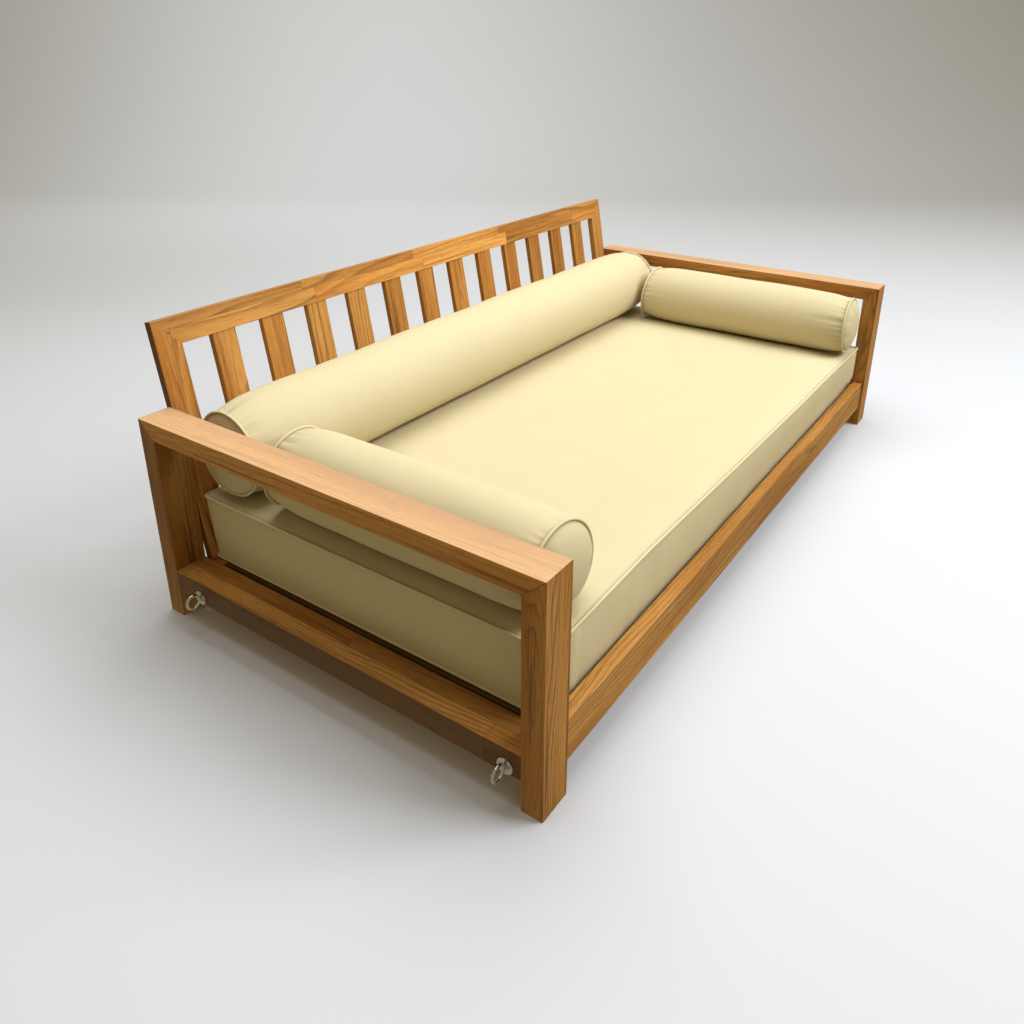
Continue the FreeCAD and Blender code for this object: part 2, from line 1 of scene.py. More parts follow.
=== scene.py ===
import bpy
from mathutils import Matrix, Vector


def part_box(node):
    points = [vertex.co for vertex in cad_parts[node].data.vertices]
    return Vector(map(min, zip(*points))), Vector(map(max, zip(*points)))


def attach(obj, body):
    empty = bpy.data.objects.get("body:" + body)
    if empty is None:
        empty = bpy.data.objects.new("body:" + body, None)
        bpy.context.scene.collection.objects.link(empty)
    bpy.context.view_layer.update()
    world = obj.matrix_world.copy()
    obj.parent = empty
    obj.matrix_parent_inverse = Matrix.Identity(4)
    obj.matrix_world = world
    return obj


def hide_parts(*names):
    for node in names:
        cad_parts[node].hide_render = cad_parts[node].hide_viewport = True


bl_info = {
    "name": "Daybed Finish",
    "version": (1, 0, 0),
    "blender": (4, 5, 0),
    "location": "View3D > Sidebar > Daybed",
    "description": "Finishes a teak daybed: timber, fittings, a piped mattress, bolsters and a studio",
    "category": "Object",
}

import math
import random

import bpy
import bmesh
import numpy as np
from mathutils import Matrix, Vector

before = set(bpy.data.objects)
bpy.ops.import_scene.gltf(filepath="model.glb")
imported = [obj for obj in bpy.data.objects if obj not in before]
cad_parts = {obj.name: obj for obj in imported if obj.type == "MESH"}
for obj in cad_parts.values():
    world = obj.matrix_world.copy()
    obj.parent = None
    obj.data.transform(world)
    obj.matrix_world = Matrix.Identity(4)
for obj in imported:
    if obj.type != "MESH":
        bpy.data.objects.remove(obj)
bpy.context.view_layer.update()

LEAN = math.radians(9.8)
SIDES = ("left", "right")

# How each kind of board is cut: the turn that stands its grain upright.
GRAIN_TURN = {
    "upright": (0.0, 0.0, 0.0),
    "lengthwise": (0.0, math.pi / 2, 0.0),
    "front_to_back": (math.pi / 2, 0.0, 0.0),
    "back_upright": (LEAN, 0.0, 0.0),
    "back_lengthwise": (LEAN, math.pi / 2, 0.0),
}


# ---------------------------------------------------------------- settings
def colour_setting(name, description, default):
    return bpy.props.FloatVectorProperty(name=name, description=description, subtype="COLOR", size=3,
                                         min=0.0, max=1.0, default=default)


def length_setting(name, description, default, least, most):
    return bpy.props.FloatProperty(name=name, description=description, unit="LENGTH",
                                   default=default, min=least, max=most)


def power_setting(name, description, default):
    return bpy.props.FloatProperty(name=name, description=description, subtype="POWER",
                                   default=default, min=0.0, max=5000.0)


class DaybedTimberSettings(bpy.types.PropertyGroup):
    early_wood: colour_setting(
        "Early wood", "Palest colour between the growth lines", (0.56, 0.272, 0.066))
    heart_wood: colour_setting(
        "Heart wood", "Main colour of the oiled teak", (0.36, 0.138, 0.022))
    late_wood: colour_setting(
        "Late wood", "Darkest colour of the growth lines and streaks", (0.070, 0.020, 0.004))
    ring_gap: length_setting(
        "Ring gap", "Distance between growth lines", 0.0065, 0.001, 0.05)
    sheen_roughness: bpy.props.FloatProperty(
        name="Oil roughness", description="Roughness of the oiled surface",
        default=0.42, min=0.05, max=1.0)


class DaybedClothSettings(bpy.types.PropertyGroup):
    cloth_colour: colour_setting(
        "Cloth", "Colour of the cushion covers", (0.62, 0.535, 0.335))
    cord_colour: colour_setting(
        "Piping", "Colour of the piping cord's cover", (0.65, 0.565, 0.355))
    thread_pitch: length_setting(
        "Thread pitch", "Distance between neighbouring threads", 0.0011, 0.0002, 0.01)
    piping_radius: length_setting(
        "Piping radius", "Radius of the covered cord in the seams", 0.0032, 0.001, 0.01)
    pucker_depth: length_setting(
        "Pucker depth", "How deep the cloth is gathered beside an end seam", 0.0055, 0.0, 0.01)
    filling_pressure: bpy.props.FloatProperty(
        name="Filling pressure", description="How hard the filling pushes the cloth out",
        default=4.0, min=0.0, max=20.0)


class DaybedStageSettings(bpy.types.PropertyGroup):
    floor_colour: colour_setting(
        "Floor", "Colour of the studio floor and backdrop", (0.575, 0.583, 0.620))
    key_power: power_setting(
        "Key light", "Power of the large softbox in front", 330.0)
    top_power: power_setting(
        "Top light", "Power of the overhead softbox", 182.0)
    wall_power: power_setting(
        "Backdrop light", "Power of the softbox that lights the backdrop", 122.0)


# ---------------------------------------------------------------- node helpers
def add_node(tree, kind, at=(0, 0), **values):
    node = tree.nodes.new(kind)
    node.location = at
    for name, value in values.items():
        if name.startswith("set_"):
            setattr(node, name[4:], value)
        else:
            node.inputs[name.replace("_", " ")].default_value = value
    return node


def join(tree, out, into):
    tree.links.new(out, into)


def feed(tree, socket, value):
    """Set a socket to a number, vector or colour, or join it to the socket that gives its value."""
    if isinstance(value, (int, float)):
        socket.default_value = value
    elif isinstance(value, tuple):
        socket.default_value = value if len(value) == len(socket.default_value) else (*value, 1.0)
    else:
        join(tree, value, socket)


def new_group(name, inputs, outputs):
    """A shader node group; inputs are (name, kind, default), outputs are (name, kind).

    Gives back the tree, the sockets that bring its inputs, and a call that joins its outputs.
    """
    tree = bpy.data.node_groups.new(name, "ShaderNodeTree")
    for label, kind, default in inputs:
        socket = tree.interface.new_socket(name=label, in_out="INPUT", socket_type=kind)
        if default is not None:
            socket.default_value = default
    for label, kind in outputs:
        tree.interface.new_socket(name=label, in_out="OUTPUT", socket_type=kind)
    source = add_node(tree, "NodeGroupInput", (-1400, 0))
    target = add_node(tree, "NodeGroupOutput", (1400, 0))

    def put_out(**results):
        for label, value in results.items():
            join(tree, value, target.inputs[label])
        return tree
    return tree, source.outputs, put_out


def maths(tree, operation, *values, at=(0, 0), clamp=False):
    node = add_node(tree, "ShaderNodeMath", at, set_operation=operation, set_use_clamp=clamp)
    for socket, value in zip(node.inputs, values):
        feed(tree, socket, value)
    return node.outputs[0]


def vector_maths(tree, operation, *values, at=(0, 0), out="Vector"):
    node = add_node(tree, "ShaderNodeVectorMath", at, set_operation=operation)
    for socket, value in zip(node.inputs, values):
        feed(tree, socket, value)
    return node.outputs[out]


def split(tree, vector, at=(-1200, 0)):
    node = add_node(tree, "ShaderNodeSeparateXYZ", at)
    join(tree, vector, node.inputs[0])
    return node.outputs


def blend_colours(tree, factor, first, second):
    node = add_node(tree, "ShaderNodeMix", set_data_type="RGBA")
    for socket, value in ((node.inputs[0], factor), (node.inputs[6], first), (node.inputs[7], second)):
        feed(tree, socket, value)
    return node.outputs[2]


def ramp(tree, value, stops, at=(0, 0)):
    node = add_node(tree, "ShaderNodeValToRGB", at)
    node.color_ramp.interpolation = "EASE"
    while len(node.color_ramp.elements) < len(stops):
        node.color_ramp.elements.new(0.5)
    for element, (place, level) in zip(node.color_ramp.elements, stops):
        element.position = place
        element.color = (level, level, level, 1.0)
    join(tree, value, node.inputs[0])
    return node.outputs[0]


def stretched_noise(tree, vector, stretch, scale, detail, rough=0.5, at=(0, 0)):
    """Noise on a vector first scaled by stretch, which makes it long along the grain."""
    scaled = vector_maths(tree, "MULTIPLY", vector, stretch, at=at)
    noise = add_node(tree, "ShaderNodeTexNoise", (at[0] + 200, at[1]), Scale=scale, Detail=detail,
                     Roughness=rough)
    join(tree, scaled, noise.inputs["Vector"])
    return noise.outputs["Fac"]


# ---------------------------------------------------------------- shared effects
GLUE_LINE = 0.0007      # half width of the dark line between glued strips
PORE_DEPTH = 0.58       # how far the pores darken to late wood


def build_strip_group():
    """Glued strips: each strip and each length of it gets its own piece of the grain and tone."""
    tree, given, put_out = new_group(
        "Glued Strips",
        [("Vector", "NodeSocketVector", None), ("Width", "NodeSocketFloat", 0.04),
         ("Length", "NodeSocketFloat", 0.7)],
        [("Vector", "NodeSocketVector"), ("Tone", "NodeSocketFloat"), ("Line", "NodeSocketFloat")])
    parts = split(tree, given["Vector"])
    across = maths(tree, "DIVIDE", parts[0], given["Width"], at=(-1000, 200))
    strip = maths(tree, "FLOOR", across, at=(-800, 200))
    start = add_node(tree, "ShaderNodeTexWhiteNoise", (-600, 300), set_noise_dimensions="1D")
    join(tree, strip, start.inputs["W"])
    along = maths(tree, "DIVIDE", parts[2], given["Length"], at=(-800, -100))
    along = maths(tree, "ADD", along, start.outputs["Value"], at=(-600, -100))
    length = maths(tree, "FLOOR", along, at=(-400, -100))
    board = add_node(tree, "ShaderNodeCombineXYZ", (-200, 0))
    join(tree, strip, board.inputs[0])
    join(tree, length, board.inputs[1])
    chance = add_node(tree, "ShaderNodeTexWhiteNoise", (0, 0), set_noise_dimensions="3D")
    join(tree, board.outputs[0], chance.inputs["Vector"])
    shifted = vector_maths(tree, "MULTIPLY_ADD", chance.outputs["Color"], (0.22, 0.22, 3.0),
                           given["Vector"], at=(200, 100))
    edges = []
    for place, pitch in ((across, given["Width"]), (along, given["Length"])):
        away = maths(tree, "ABSOLUTE", maths(tree, "SUBTRACT", maths(tree, "FRACT", place), 0.5))
        edges.append(maths(tree, "MULTIPLY", maths(tree, "SUBTRACT", 0.5, away), pitch))
    nearest = maths(tree, "MINIMUM", *edges)
    line = maths(tree, "SUBTRACT", 1.0, maths(tree, "DIVIDE", nearest, GLUE_LINE), clamp=True)
    return put_out(Vector=shifted, Tone=chance.outputs["Value"], Line=line)


def build_grain_group():
    """Teak cut from a log whose axis runs near the board, grain along Z, in metres."""
    tree, given, put_out = new_group(
        "Teak Grain",
        [("Vector", "NodeSocketVector", None), ("Ring Gap", "NodeSocketFloat", 0.006),
         ("Ring Depth", "NodeSocketFloat", 0.6),
         ("Waviness", "NodeSocketFloat", 0.012), ("Streaks", "NodeSocketFloat", 0.5),
         ("Early Wood", "NodeSocketColor", (0.5, 0.3, 0.1, 1)),
         ("Heart Wood", "NodeSocketColor", (0.4, 0.2, 0.05, 1)),
         ("Late Wood", "NodeSocketColor", (0.1, 0.04, 0.01, 1))],
        [("Color", "NodeSocketColor"), ("Roughness", "NodeSocketFloat"), ("Height", "NodeSocketFloat")])
    vector = given["Vector"]
    bend = stretched_noise(tree, vector, (1.0, 1.0, 0.16), 7.0, 2.0, at=(-1200, 400))
    bend = maths(tree, "MULTIPLY", maths(tree, "SUBTRACT", bend, 0.5), given["Waviness"])
    flutter = stretched_noise(tree, vector, (1.0, 1.0, 0.10), 60.0, 2.0, at=(-1200, 200))
    flutter = maths(tree, "MULTIPLY", maths(tree, "SUBTRACT", flutter, 0.5), 0.0035)
    parts = split(tree, vector)
    flat = add_node(tree, "ShaderNodeCombineXYZ", (-1000, 0))
    join(tree, parts[0], flat.inputs[0])
    join(tree, parts[1], flat.inputs[1])
    distance = vector_maths(tree, "LENGTH", flat.outputs[0], at=(-800, 0), out="Value")
    tilt = maths(tree, "MULTIPLY", parts[2], 0.014)
    radius = maths(tree, "ADD", distance, maths(tree, "MULTIPLY", bend, 6.0))
    radius = maths(tree, "ADD", maths(tree, "ADD", radius, flutter), tilt)
    rings = maths(tree, "FRACT", maths(tree, "DIVIDE", radius, given["Ring Gap"]))
    late = ramp(tree, rings, [(0.0, 0.0), (0.45, 0.12), (0.86, 0.85), (0.93, 1.0), (1.0, 0.0)], (200, 300))
    weight = stretched_noise(tree, vector, (1.0, 1.0, 0.05), 26.0, 3.0, at=(-1200, -200))
    weight = ramp(tree, weight, [(0.30, 0.15), (0.70, 1.0)], (-700, -200))
    late = maths(tree, "MULTIPLY", late, weight)
    cloud = stretched_noise(tree, vector, (1.0, 1.0, 0.12), 9.0, 3.0, at=(-1200, -400))
    cloud = ramp(tree, cloud, [(0.30, 0.0), (0.70, 1.0)], (-700, -400))
    streak = stretched_noise(tree, vector, (1.0, 1.0, 0.022), 75.0, 4.0, 0.6, at=(-1200, -600))
    streak = ramp(tree, streak, [(0.52, 0.0), (0.72, 1.0)], (-700, -600))
    pores = stretched_noise(tree, vector, (1.0, 1.0, 0.028), 900.0, 2.0, 0.6, at=(-1200, -800))
    pores = ramp(tree, pores, [(0.50, 0.0), (0.74, 1.0)], (-700, -800))
    colour = blend_colours(tree, cloud, given["Early Wood"], given["Heart Wood"])
    for mask, depth in ((late, given["Ring Depth"]), (streak, given["Streaks"]), (pores, PORE_DEPTH)):
        colour = blend_colours(tree, maths(tree, "MULTIPLY", mask, depth), colour, given["Late Wood"])
    rough = maths(tree, "ADD", maths(tree, "MULTIPLY", pores, 0.16), maths(tree, "MULTIPLY", late, -0.05))
    height = maths(tree, "SUBTRACT", maths(tree, "MULTIPLY", late, 0.35), maths(tree, "MULTIPLY", pores, 0.8))
    return put_out(Color=colour, Roughness=rough, Height=height)


def build_joint_group():
    """A fine dark line where two boards meet on a plane."""
    tree, given, put_out = new_group(
        "Joint Line",
        [("Vector", "NodeSocketVector", None), ("Point", "NodeSocketVector", None),
         ("Normal", "NodeSocketVector", None), ("Width", "NodeSocketFloat", 0.0008)],
        [("Line", "NodeSocketFloat")])
    away = vector_maths(tree, "SUBTRACT", given["Vector"], given["Point"], at=(-800, 0))
    depth = vector_maths(tree, "DOT_PRODUCT", away, given["Normal"], at=(-600, 0), out="Value")
    ratio = maths(tree, "DIVIDE", maths(tree, "ABSOLUTE", depth), given["Width"])
    return put_out(Line=maths(tree, "SUBTRACT", 1.0, ratio, clamp=True))


def build_weave_group():
    """A plain weave from a flat layout in metres, with uneven threads and slubs."""
    tree, given, put_out = new_group(
        "Plain Weave",
        [("Vector", "NodeSocketVector", None), ("Pitch", "NodeSocketFloat", 0.001)],
        [("Thread", "NodeSocketFloat"), ("Slub", "NodeSocketFloat"), ("Cloud", "NodeSocketFloat"),
         ("Height", "NodeSocketFloat")])
    vector = given["Vector"]
    wander = stretched_noise(tree, vector, (1.0, 1.0, 1.0), 40.0, 2.0, at=(-1200, 300))
    wander = maths(tree, "MULTIPLY", maths(tree, "SUBTRACT", wander, 0.5), 0.004)
    parts = split(tree, vector)
    turns = []
    for axis in (0, 1):
        place = maths(tree, "ADD", parts[axis], wander)
        turns.append(maths(tree, "MULTIPLY", maths(tree, "DIVIDE", place, given["Pitch"]), math.pi))
    warp = maths(tree, "ABSOLUTE", maths(tree, "SINE", turns[0]))
    weft = maths(tree, "ABSOLUTE", maths(tree, "SINE", turns[1]))
    over = maths(tree, "MULTIPLY", maths(tree, "COSINE", turns[0]), maths(tree, "COSINE", turns[1]))
    over = maths(tree, "GREATER_THAN", over, 0.0)
    height = maths(tree, "ADD", maths(tree, "MULTIPLY", warp, over),
                   maths(tree, "MULTIPLY", weft, maths(tree, "SUBTRACT", 1.0, over)))
    long_slub = stretched_noise(tree, vector, (1.0, 0.04, 1.0), 420.0, 2.0, at=(-1200, -300))
    cross_slub = stretched_noise(tree, vector, (0.04, 1.0, 1.0), 420.0, 2.0, at=(-1200, -500))
    slub = ramp(tree, maths(tree, "MAXIMUM", long_slub, cross_slub), [(0.48, 0.0), (0.78, 1.0)])
    cloud = stretched_noise(tree, vector, (1.0, 1.0, 1.0), 7.0, 4.0, 0.6, at=(-1200, -700))
    raised = maths(tree, "ADD", height, maths(tree, "MULTIPLY", slub, 0.8))
    return put_out(Thread=height, Slub=slub, Cloud=cloud, Height=raised)


def shared(name, builder):
    return bpy.data.node_groups.get(name) or builder()


def place_group(tree, group, at=(0, 0)):
    node = add_node(tree, "ShaderNodeGroup", at)
    node.node_tree = group
    return node


def new_material(name):
    material = bpy.data.materials.new(name)
    material.use_nodes = True
    tree = material.node_tree
    return material, tree, tree.nodes["Principled BSDF"]


def add_bump(tree, shader, height, strength, distance):
    bump = add_node(tree, "ShaderNodeBump", (600, -400), Strength=strength, Distance=distance)
    join(tree, height, bump.inputs["Height"])
    join(tree, bump.outputs[0], shader.inputs["Normal"])


# ---------------------------------------------------------------- finishes
# Paler teak blended onto faces that point up: a painted highlight where the top light falls.
PAINTED_TOP_LIGHT_TEAK = (0.76, 0.565, 0.385)
MITRE_LINE = 0.0011     # half width of the dark line in a mitre


def make_teak(name, cut, seed, tone=0.0, warmth=0.0, streaks=0.6, waviness=0.012, strips=None,
              joints=(), pale=0.0, rings=0.62):
    """Oiled teak. tone lightens or darkens, pale paints a paler teak onto what faces up as painted top light,
    joints are (point, normal).
    """
    settings = bpy.context.scene.daybed_timber
    chance = random.Random(seed)
    material, tree, shader = new_material(name)
    place = add_node(tree, "ShaderNodeTexCoord", (-1400, 0))
    turn = add_node(tree, "ShaderNodeMapping", (-1200, 0))
    turn.inputs["Rotation"].default_value = GRAIN_TURN[cut]
    turn.inputs["Location"].default_value = (chance.uniform(0.03, 0.16), chance.uniform(0.02, 0.12),
                                             chance.uniform(-9, 9))
    join(tree, place.outputs["Object"], turn.inputs["Vector"])
    vector = turn.outputs[0]
    lines = []
    board_tone = None
    if strips:
        width, length, offset = strips
        turn.inputs["Location"].default_value[0] = offset
        glued = place_group(tree, shared("Glued Strips", build_strip_group), (-1000, 0))
        glued.inputs["Width"].default_value = width
        glued.inputs["Length"].default_value = length
        join(tree, vector, glued.inputs["Vector"])
        vector = glued.outputs["Vector"]
        board_tone = glued.outputs["Tone"]
        lines.append(glued.outputs["Line"])
    grain = place_group(tree, shared("Teak Grain", build_grain_group), (-700, 0))
    grain.inputs["Ring Gap"].default_value = settings.ring_gap * chance.uniform(0.8, 1.35)
    grain.inputs["Ring Depth"].default_value = rings
    grain.inputs["Waviness"].default_value = waviness
    grain.inputs["Streaks"].default_value = streaks
    lift = 1.0 + tone
    for socket, colour in (("Early Wood", settings.early_wood), ("Heart Wood", settings.heart_wood),
                           ("Late Wood", settings.late_wood)):
        red, green, blue = (channel * lift for channel in colour)
        grain.inputs[socket].default_value = (red, green * (1 - warmth), blue * (1 - 2 * warmth), 1)
    join(tree, vector, grain.inputs["Vector"])
    colour = grain.outputs["Color"]
    if board_tone:
        level = maths(tree, "MULTIPLY_ADD", board_tone, 0.42, 0.80)
        shade = add_node(tree, "ShaderNodeVectorMath", (-300, 0), set_operation="SCALE")
        join(tree, colour, shade.inputs[0])
        join(tree, level, shade.inputs["Scale"])
        colour = shade.outputs[0]
    # pale: painted highlight, with up-facing faces blended toward a paler teak where the top light falls.
    if pale:
        face = add_node(tree, "ShaderNodeNewGeometry", (-700, 500))
        upward = split(tree, face.outputs["Normal"], (-500, 500))["Z"]
        top_light_mask = maths(tree, "MULTIPLY", upward, pale, clamp=True)
        colour = blend_colours(tree, top_light_mask, colour, PAINTED_TOP_LIGHT_TEAK)
    for point, normal in joints:
        meeting = place_group(tree, shared("Joint Line", build_joint_group), (-700, -500))
        meeting.inputs["Point"].default_value = point
        meeting.inputs["Normal"].default_value = Vector(normal).normalized()
        meeting.inputs["Width"].default_value = MITRE_LINE
        join(tree, place.outputs["Object"], meeting.inputs["Vector"])
        lines.append(meeting.outputs["Line"])
    for line in lines:
        colour = blend_colours(tree, maths(tree, "MULTIPLY", line, 0.75), colour, (0.03, 0.012, 0.004))
    join(tree, colour, shader.inputs["Base Color"])
    rough = maths(tree, "ADD", grain.outputs["Roughness"], settings.sheen_roughness)
    join(tree, rough, shader.inputs["Roughness"])
    shader.inputs["Specular IOR Level"].default_value = 0.22
    shader.inputs["Coat Weight"].default_value = 0.03
    shader.inputs["Coat Roughness"].default_value = 0.28
    add_bump(tree, shader, grain.outputs["Height"], 0.35, 0.0004)
    return material


def make_cloth(name, colour, use_layout=True):
    settings = bpy.context.scene.daybed_cloth
    material, tree, shader = new_material(name)
    if use_layout:
        place = add_node(tree, "ShaderNodeUVMap", (-900, 0), set_uv_map="layout").outputs[0]
    else:
        place = add_node(tree, "ShaderNodeTexCoord", (-900, 0)).outputs["Object"]
    weave = place_group(tree, shared("Plain Weave", build_weave_group), (-700, 0))
    weave.inputs["Pitch"].default_value = settings.thread_pitch
    join(tree, place, weave.inputs["Vector"])
    dark = tuple(channel * 0.80 for channel in colour)
    bright = tuple(min(1.0, channel * 1.07) for channel in colour)
    shade = blend_colours(tree, weave.outputs["Thread"], dark, bright)
    cloud = ramp(tree, weave.outputs["Cloud"], [(0.30, 0.0), (0.70, 1.0)])
    shade = blend_colours(tree, maths(tree, "MULTIPLY", cloud, 0.22), shade,
                          tuple(channel * factor for channel, factor in zip(colour, (0.93, 0.91, 0.84))))
    shade = blend_colours(tree, maths(tree, "MULTIPLY", weave.outputs["Slub"], 0.30), shade, bright)
    # Painted shade: along seams and in gathers the cloth is darkened toward a deep olive, where shade falls.
    if use_layout:
        crease = add_node(tree, "ShaderNodeAttribute", (-300, 500), set_attribute_name="crease")
        shade = blend_colours(tree, maths(tree, "MULTIPLY", crease.outputs["Fac"], 0.80), shade,
                              tuple(channel * factor for channel, factor in zip(colour, (0.26, 0.21, 0.12))))
    join(tree, shade, shader.inputs["Base Color"])
    join(tree, maths(tree, "MULTIPLY_ADD", weave.outputs["Thread"], -0.10, 0.93), shader.inputs["Roughness"])
    shader.inputs["Specular IOR Level"].default_value = 0.12
    shader.inputs["Sheen Weight"].default_value = 0.05
    shader.inputs["Sheen Roughness"].default_value = 0.45
    shader.inputs["Sheen Tint"].default_value = (1.0, 0.95, 0.8, 1.0)
    add_bump(tree, shader, weave.outputs["Height"], 0.45, 0.0003)
    return material


def make_metal(name, colour, roughness, brush):
    material, tree, shader = new_material(name)
    place = add_node(tree, "ShaderNodeTexCoord", (-900, 0))
    brushed = stretched_noise(tree, place.outputs["Object"], (1.0, 0.12, 1.0), brush, 3.0, 0.6, (-700, 0))
    smear = stretched_noise(tree, place.outputs["Object"], (1.0, 1.0, 1.0), 60.0, 3.0, 0.5, (-700, -300))
    shade = blend_colours(tree, ramp(tree, smear, [(0.35, 0.0), (0.75, 1.0)]),
                          tuple(colour), tuple(channel * 0.72 for channel in colour))
    join(tree, shade, shader.inputs["Base Color"])
    shader.inputs["Metallic"].default_value = 1.0
    rough = maths(tree, "MULTIPLY_ADD", brushed, 0.22, roughness - 0.08, clamp=True)
    join(tree, rough, shader.inputs["Roughness"])
    add_bump(tree, shader, brushed, 0.12, 0.0001)
    return material


def give(node_names, material):
    """Put one material on CAD nodes, over the one they came with."""
    for name in node_names:
        mesh_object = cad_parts[name]
        for slot in mesh_object.material_slots:
            slot.link = "OBJECT"
            slot.material = material


# ---------------------------------------------------------------- shaping helpers
CREASE_SHADE_WIDTH = 0.0028   # how fast the painted shade along a seam fades


def deselect_all():
    if bpy.context.mode != "OBJECT":
        bpy.ops.object.mode_set(mode="OBJECT")
    bpy.ops.object.select_all(action="DESELECT")


def make_active(piece):
    deselect_all()
    piece.select_set(True)
    bpy.context.view_layer.objects.active = piece


def select_edges(piece, wanted):
    """Go into edit mode with only the wanted edges selected."""
    bpy.ops.object.mode_set(mode="EDIT")
    bpy.ops.mesh.select_mode(type="EDGE")
    bpy.ops.mesh.select_all(action="DESELECT")
    shape = bmesh.from_edit_mesh(piece.data)
    for edge in shape.edges:
        edge.select_set(bool(wanted(*edge.verts)))
    bmesh.update_edit_mesh(piece.data)


def cut_along(piece, axis, count):
    """Divide every edge that runs along an axis, which rings the piece with cuts."""
    def runs(first, second):
        step = [abs(second.co[i] - first.co[i]) for i in range(3)]
        return step[axis] > 1e-6 and sum(step) - step[axis] < 1e-6
    select_edges(piece, runs)
    bpy.ops.mesh.subdivide(number_cuts=count, quadcorner="STRAIGHT_CUT")
    bpy.ops.object.mode_set(mode="OBJECT")


def crowd_ends(values, low, high, crowding):
    """Move evenly spaced cuts towards both ends of their span."""
    share = (values - low) / (high - low)
    share = share - crowding * np.sin(2 * math.pi * share) / (2 * math.pi)
    return low + share * (high - low)


def read_points(piece):
    points = np.empty(len(piece.data.vertices) * 3)
    piece.data.vertices.foreach_get("co", points)
    return points.reshape(-1, 3)


def write_points(piece, points):
    piece.data.vertices.foreach_set("co", np.ascontiguousarray(points).ravel())
    piece.data.update()


def unit(vectors):
    return vectors / np.maximum(np.linalg.norm(vectors, axis=1), 1e-9)[:, None]


def turned(angle, place):
    """The angle from place, between minus and plus pi."""
    return np.angle(np.exp(1j * (angle - place)))


def ease(values, low, high):
    return np.clip((values - low) / (high - low), 0, 1)


def smooth_random(rng, places, scale, count=9):
    """A seeded smooth random value, about -1 to 1, at each place."""
    total = np.zeros(len(places))
    for _ in range(count):
        direction = rng.normal(size=places.shape[1])
        direction /= np.linalg.norm(direction)
        total += np.sin(places @ direction * rng.uniform(0.6, 1.7) * 2 * math.pi / scale
                        + rng.uniform(0, 2 * math.pi))
    return total / math.sqrt(count)


def swell(piece, held, cap, frames=16):
    """Let the filling push the cover out as cloth, its seams held, by at most cap."""
    settings = bpy.context.scene.daybed_cloth
    make_active(piece)
    before = read_points(piece)
    group = piece.vertex_groups.new(name="held_seams")
    group.add([int(index) for index in np.flatnonzero(held)], 1.0, "REPLACE")
    cover = piece.modifiers.new("filling", "CLOTH")
    cover.settings.quality = 4
    cover.settings.mass = 0.35
    cover.settings.tension_stiffness = 14
    cover.settings.compression_stiffness = 14
    cover.settings.shear_stiffness = 6
    cover.settings.bending_stiffness = 0.6
    cover.settings.use_pressure = True
    cover.settings.uniform_pressure_force = settings.filling_pressure
    cover.settings.effector_weights.gravity = 0.0
    cover.settings.vertex_group_mass = "held_seams"
    cover.collision_settings.use_collision = False
    cover.collision_settings.use_self_collision = False
    cover.point_cache.frame_start = 1
    cover.point_cache.frame_end = frames
    scene = bpy.context.scene
    for step in range(1, frames + 1):
        scene.frame_set(step)
    bpy.ops.object.modifier_apply(modifier=cover.name)
    scene.frame_set(1)
    piece.vertex_groups.clear()
    moved = read_points(piece) - before
    size = np.linalg.norm(moved, axis=1)
    limit = cap * np.tanh(size / cap) / np.maximum(size, 1e-9)
    write_points(piece, before + moved * limit[:, None])


def smooth_finish(piece):
    make_active(piece)
    finer = piece.modifiers.new("finer", "SUBSURF")
    finer.levels = 1
    finer.render_levels = 1
    bpy.ops.object.modifier_apply(modifier=finer.name)
    bpy.ops.object.shade_smooth()


def put_layout(piece, corners_to_layout):
    """Write the flat layout, in metres, that the weave follows."""
    layer = piece.data.uv_layers.new(name="layout")
    for face in piece.data.polygons:
        places = corners_to_layout(face)
        for loop, place in zip(face.loop_indices, places):
            layer.data[loop].uv = place


def paint_crease_shade(piece, distance, painted_gather_shade=0.0):
    """Keep how deep each point lies in a seam's fold or a gather, as painted shade that darkens the cloth
    there.
    """
    layer = piece.data.attributes.new("crease", "FLOAT", "POINT")
    depth = np.maximum(np.exp(-np.maximum(distance, 0) / CREASE_SHADE_WIDTH), painted_gather_shade)
    layer.data.foreach_set("value", depth.astype(np.float32))


def face_outwards(piece, merge=None):
    make_active(piece)
    bpy.ops.object.mode_set(mode="EDIT")
    bpy.ops.mesh.select_all(action="SELECT")
    if merge:
        bpy.ops.mesh.remove_doubles(threshold=merge)
    bpy.ops.mesh.normals_make_consistent(inside=False)
    bpy.ops.object.mode_set(mode="OBJECT")


def pipe_seam(piece, name, on_seam, push, radius):
    """Run covered cord round the seam edges of a cover, pushed a little proud of it."""
    make_active(piece)
    bpy.ops.object.duplicate()
    cord = bpy.context.active_object
    cord.name = name
    write_points(cord, read_points(cord) + push * on_seam[:, None])
    select_edges(cord, lambda first, second: on_seam[first.index] and on_seam[second.index])
    bpy.ops.mesh.select_all(action="INVERT")
    bpy.ops.mesh.delete(type="EDGE_FACE")
    bpy.ops.mesh.select_mode(type="VERT")
    bpy.ops.mesh.select_all(action="DESELECT")
    bpy.ops.mesh.select_loose()
    bpy.ops.mesh.delete(type="VERT")
    bpy.ops.object.mode_set(mode="OBJECT")
    cord.data.materials.clear()
    bpy.ops.object.convert(target="CURVE")
    cord = bpy.context.active_object
    cord.data.bevel_depth = radius
    cord.data.bevel_resolution = 2
    bpy.ops.object.convert(target="MESH")
    cord = bpy.context.active_object
    face_outwards(cord, merge=0.00001)
    bpy.ops.object.shade_smooth()
    return cord


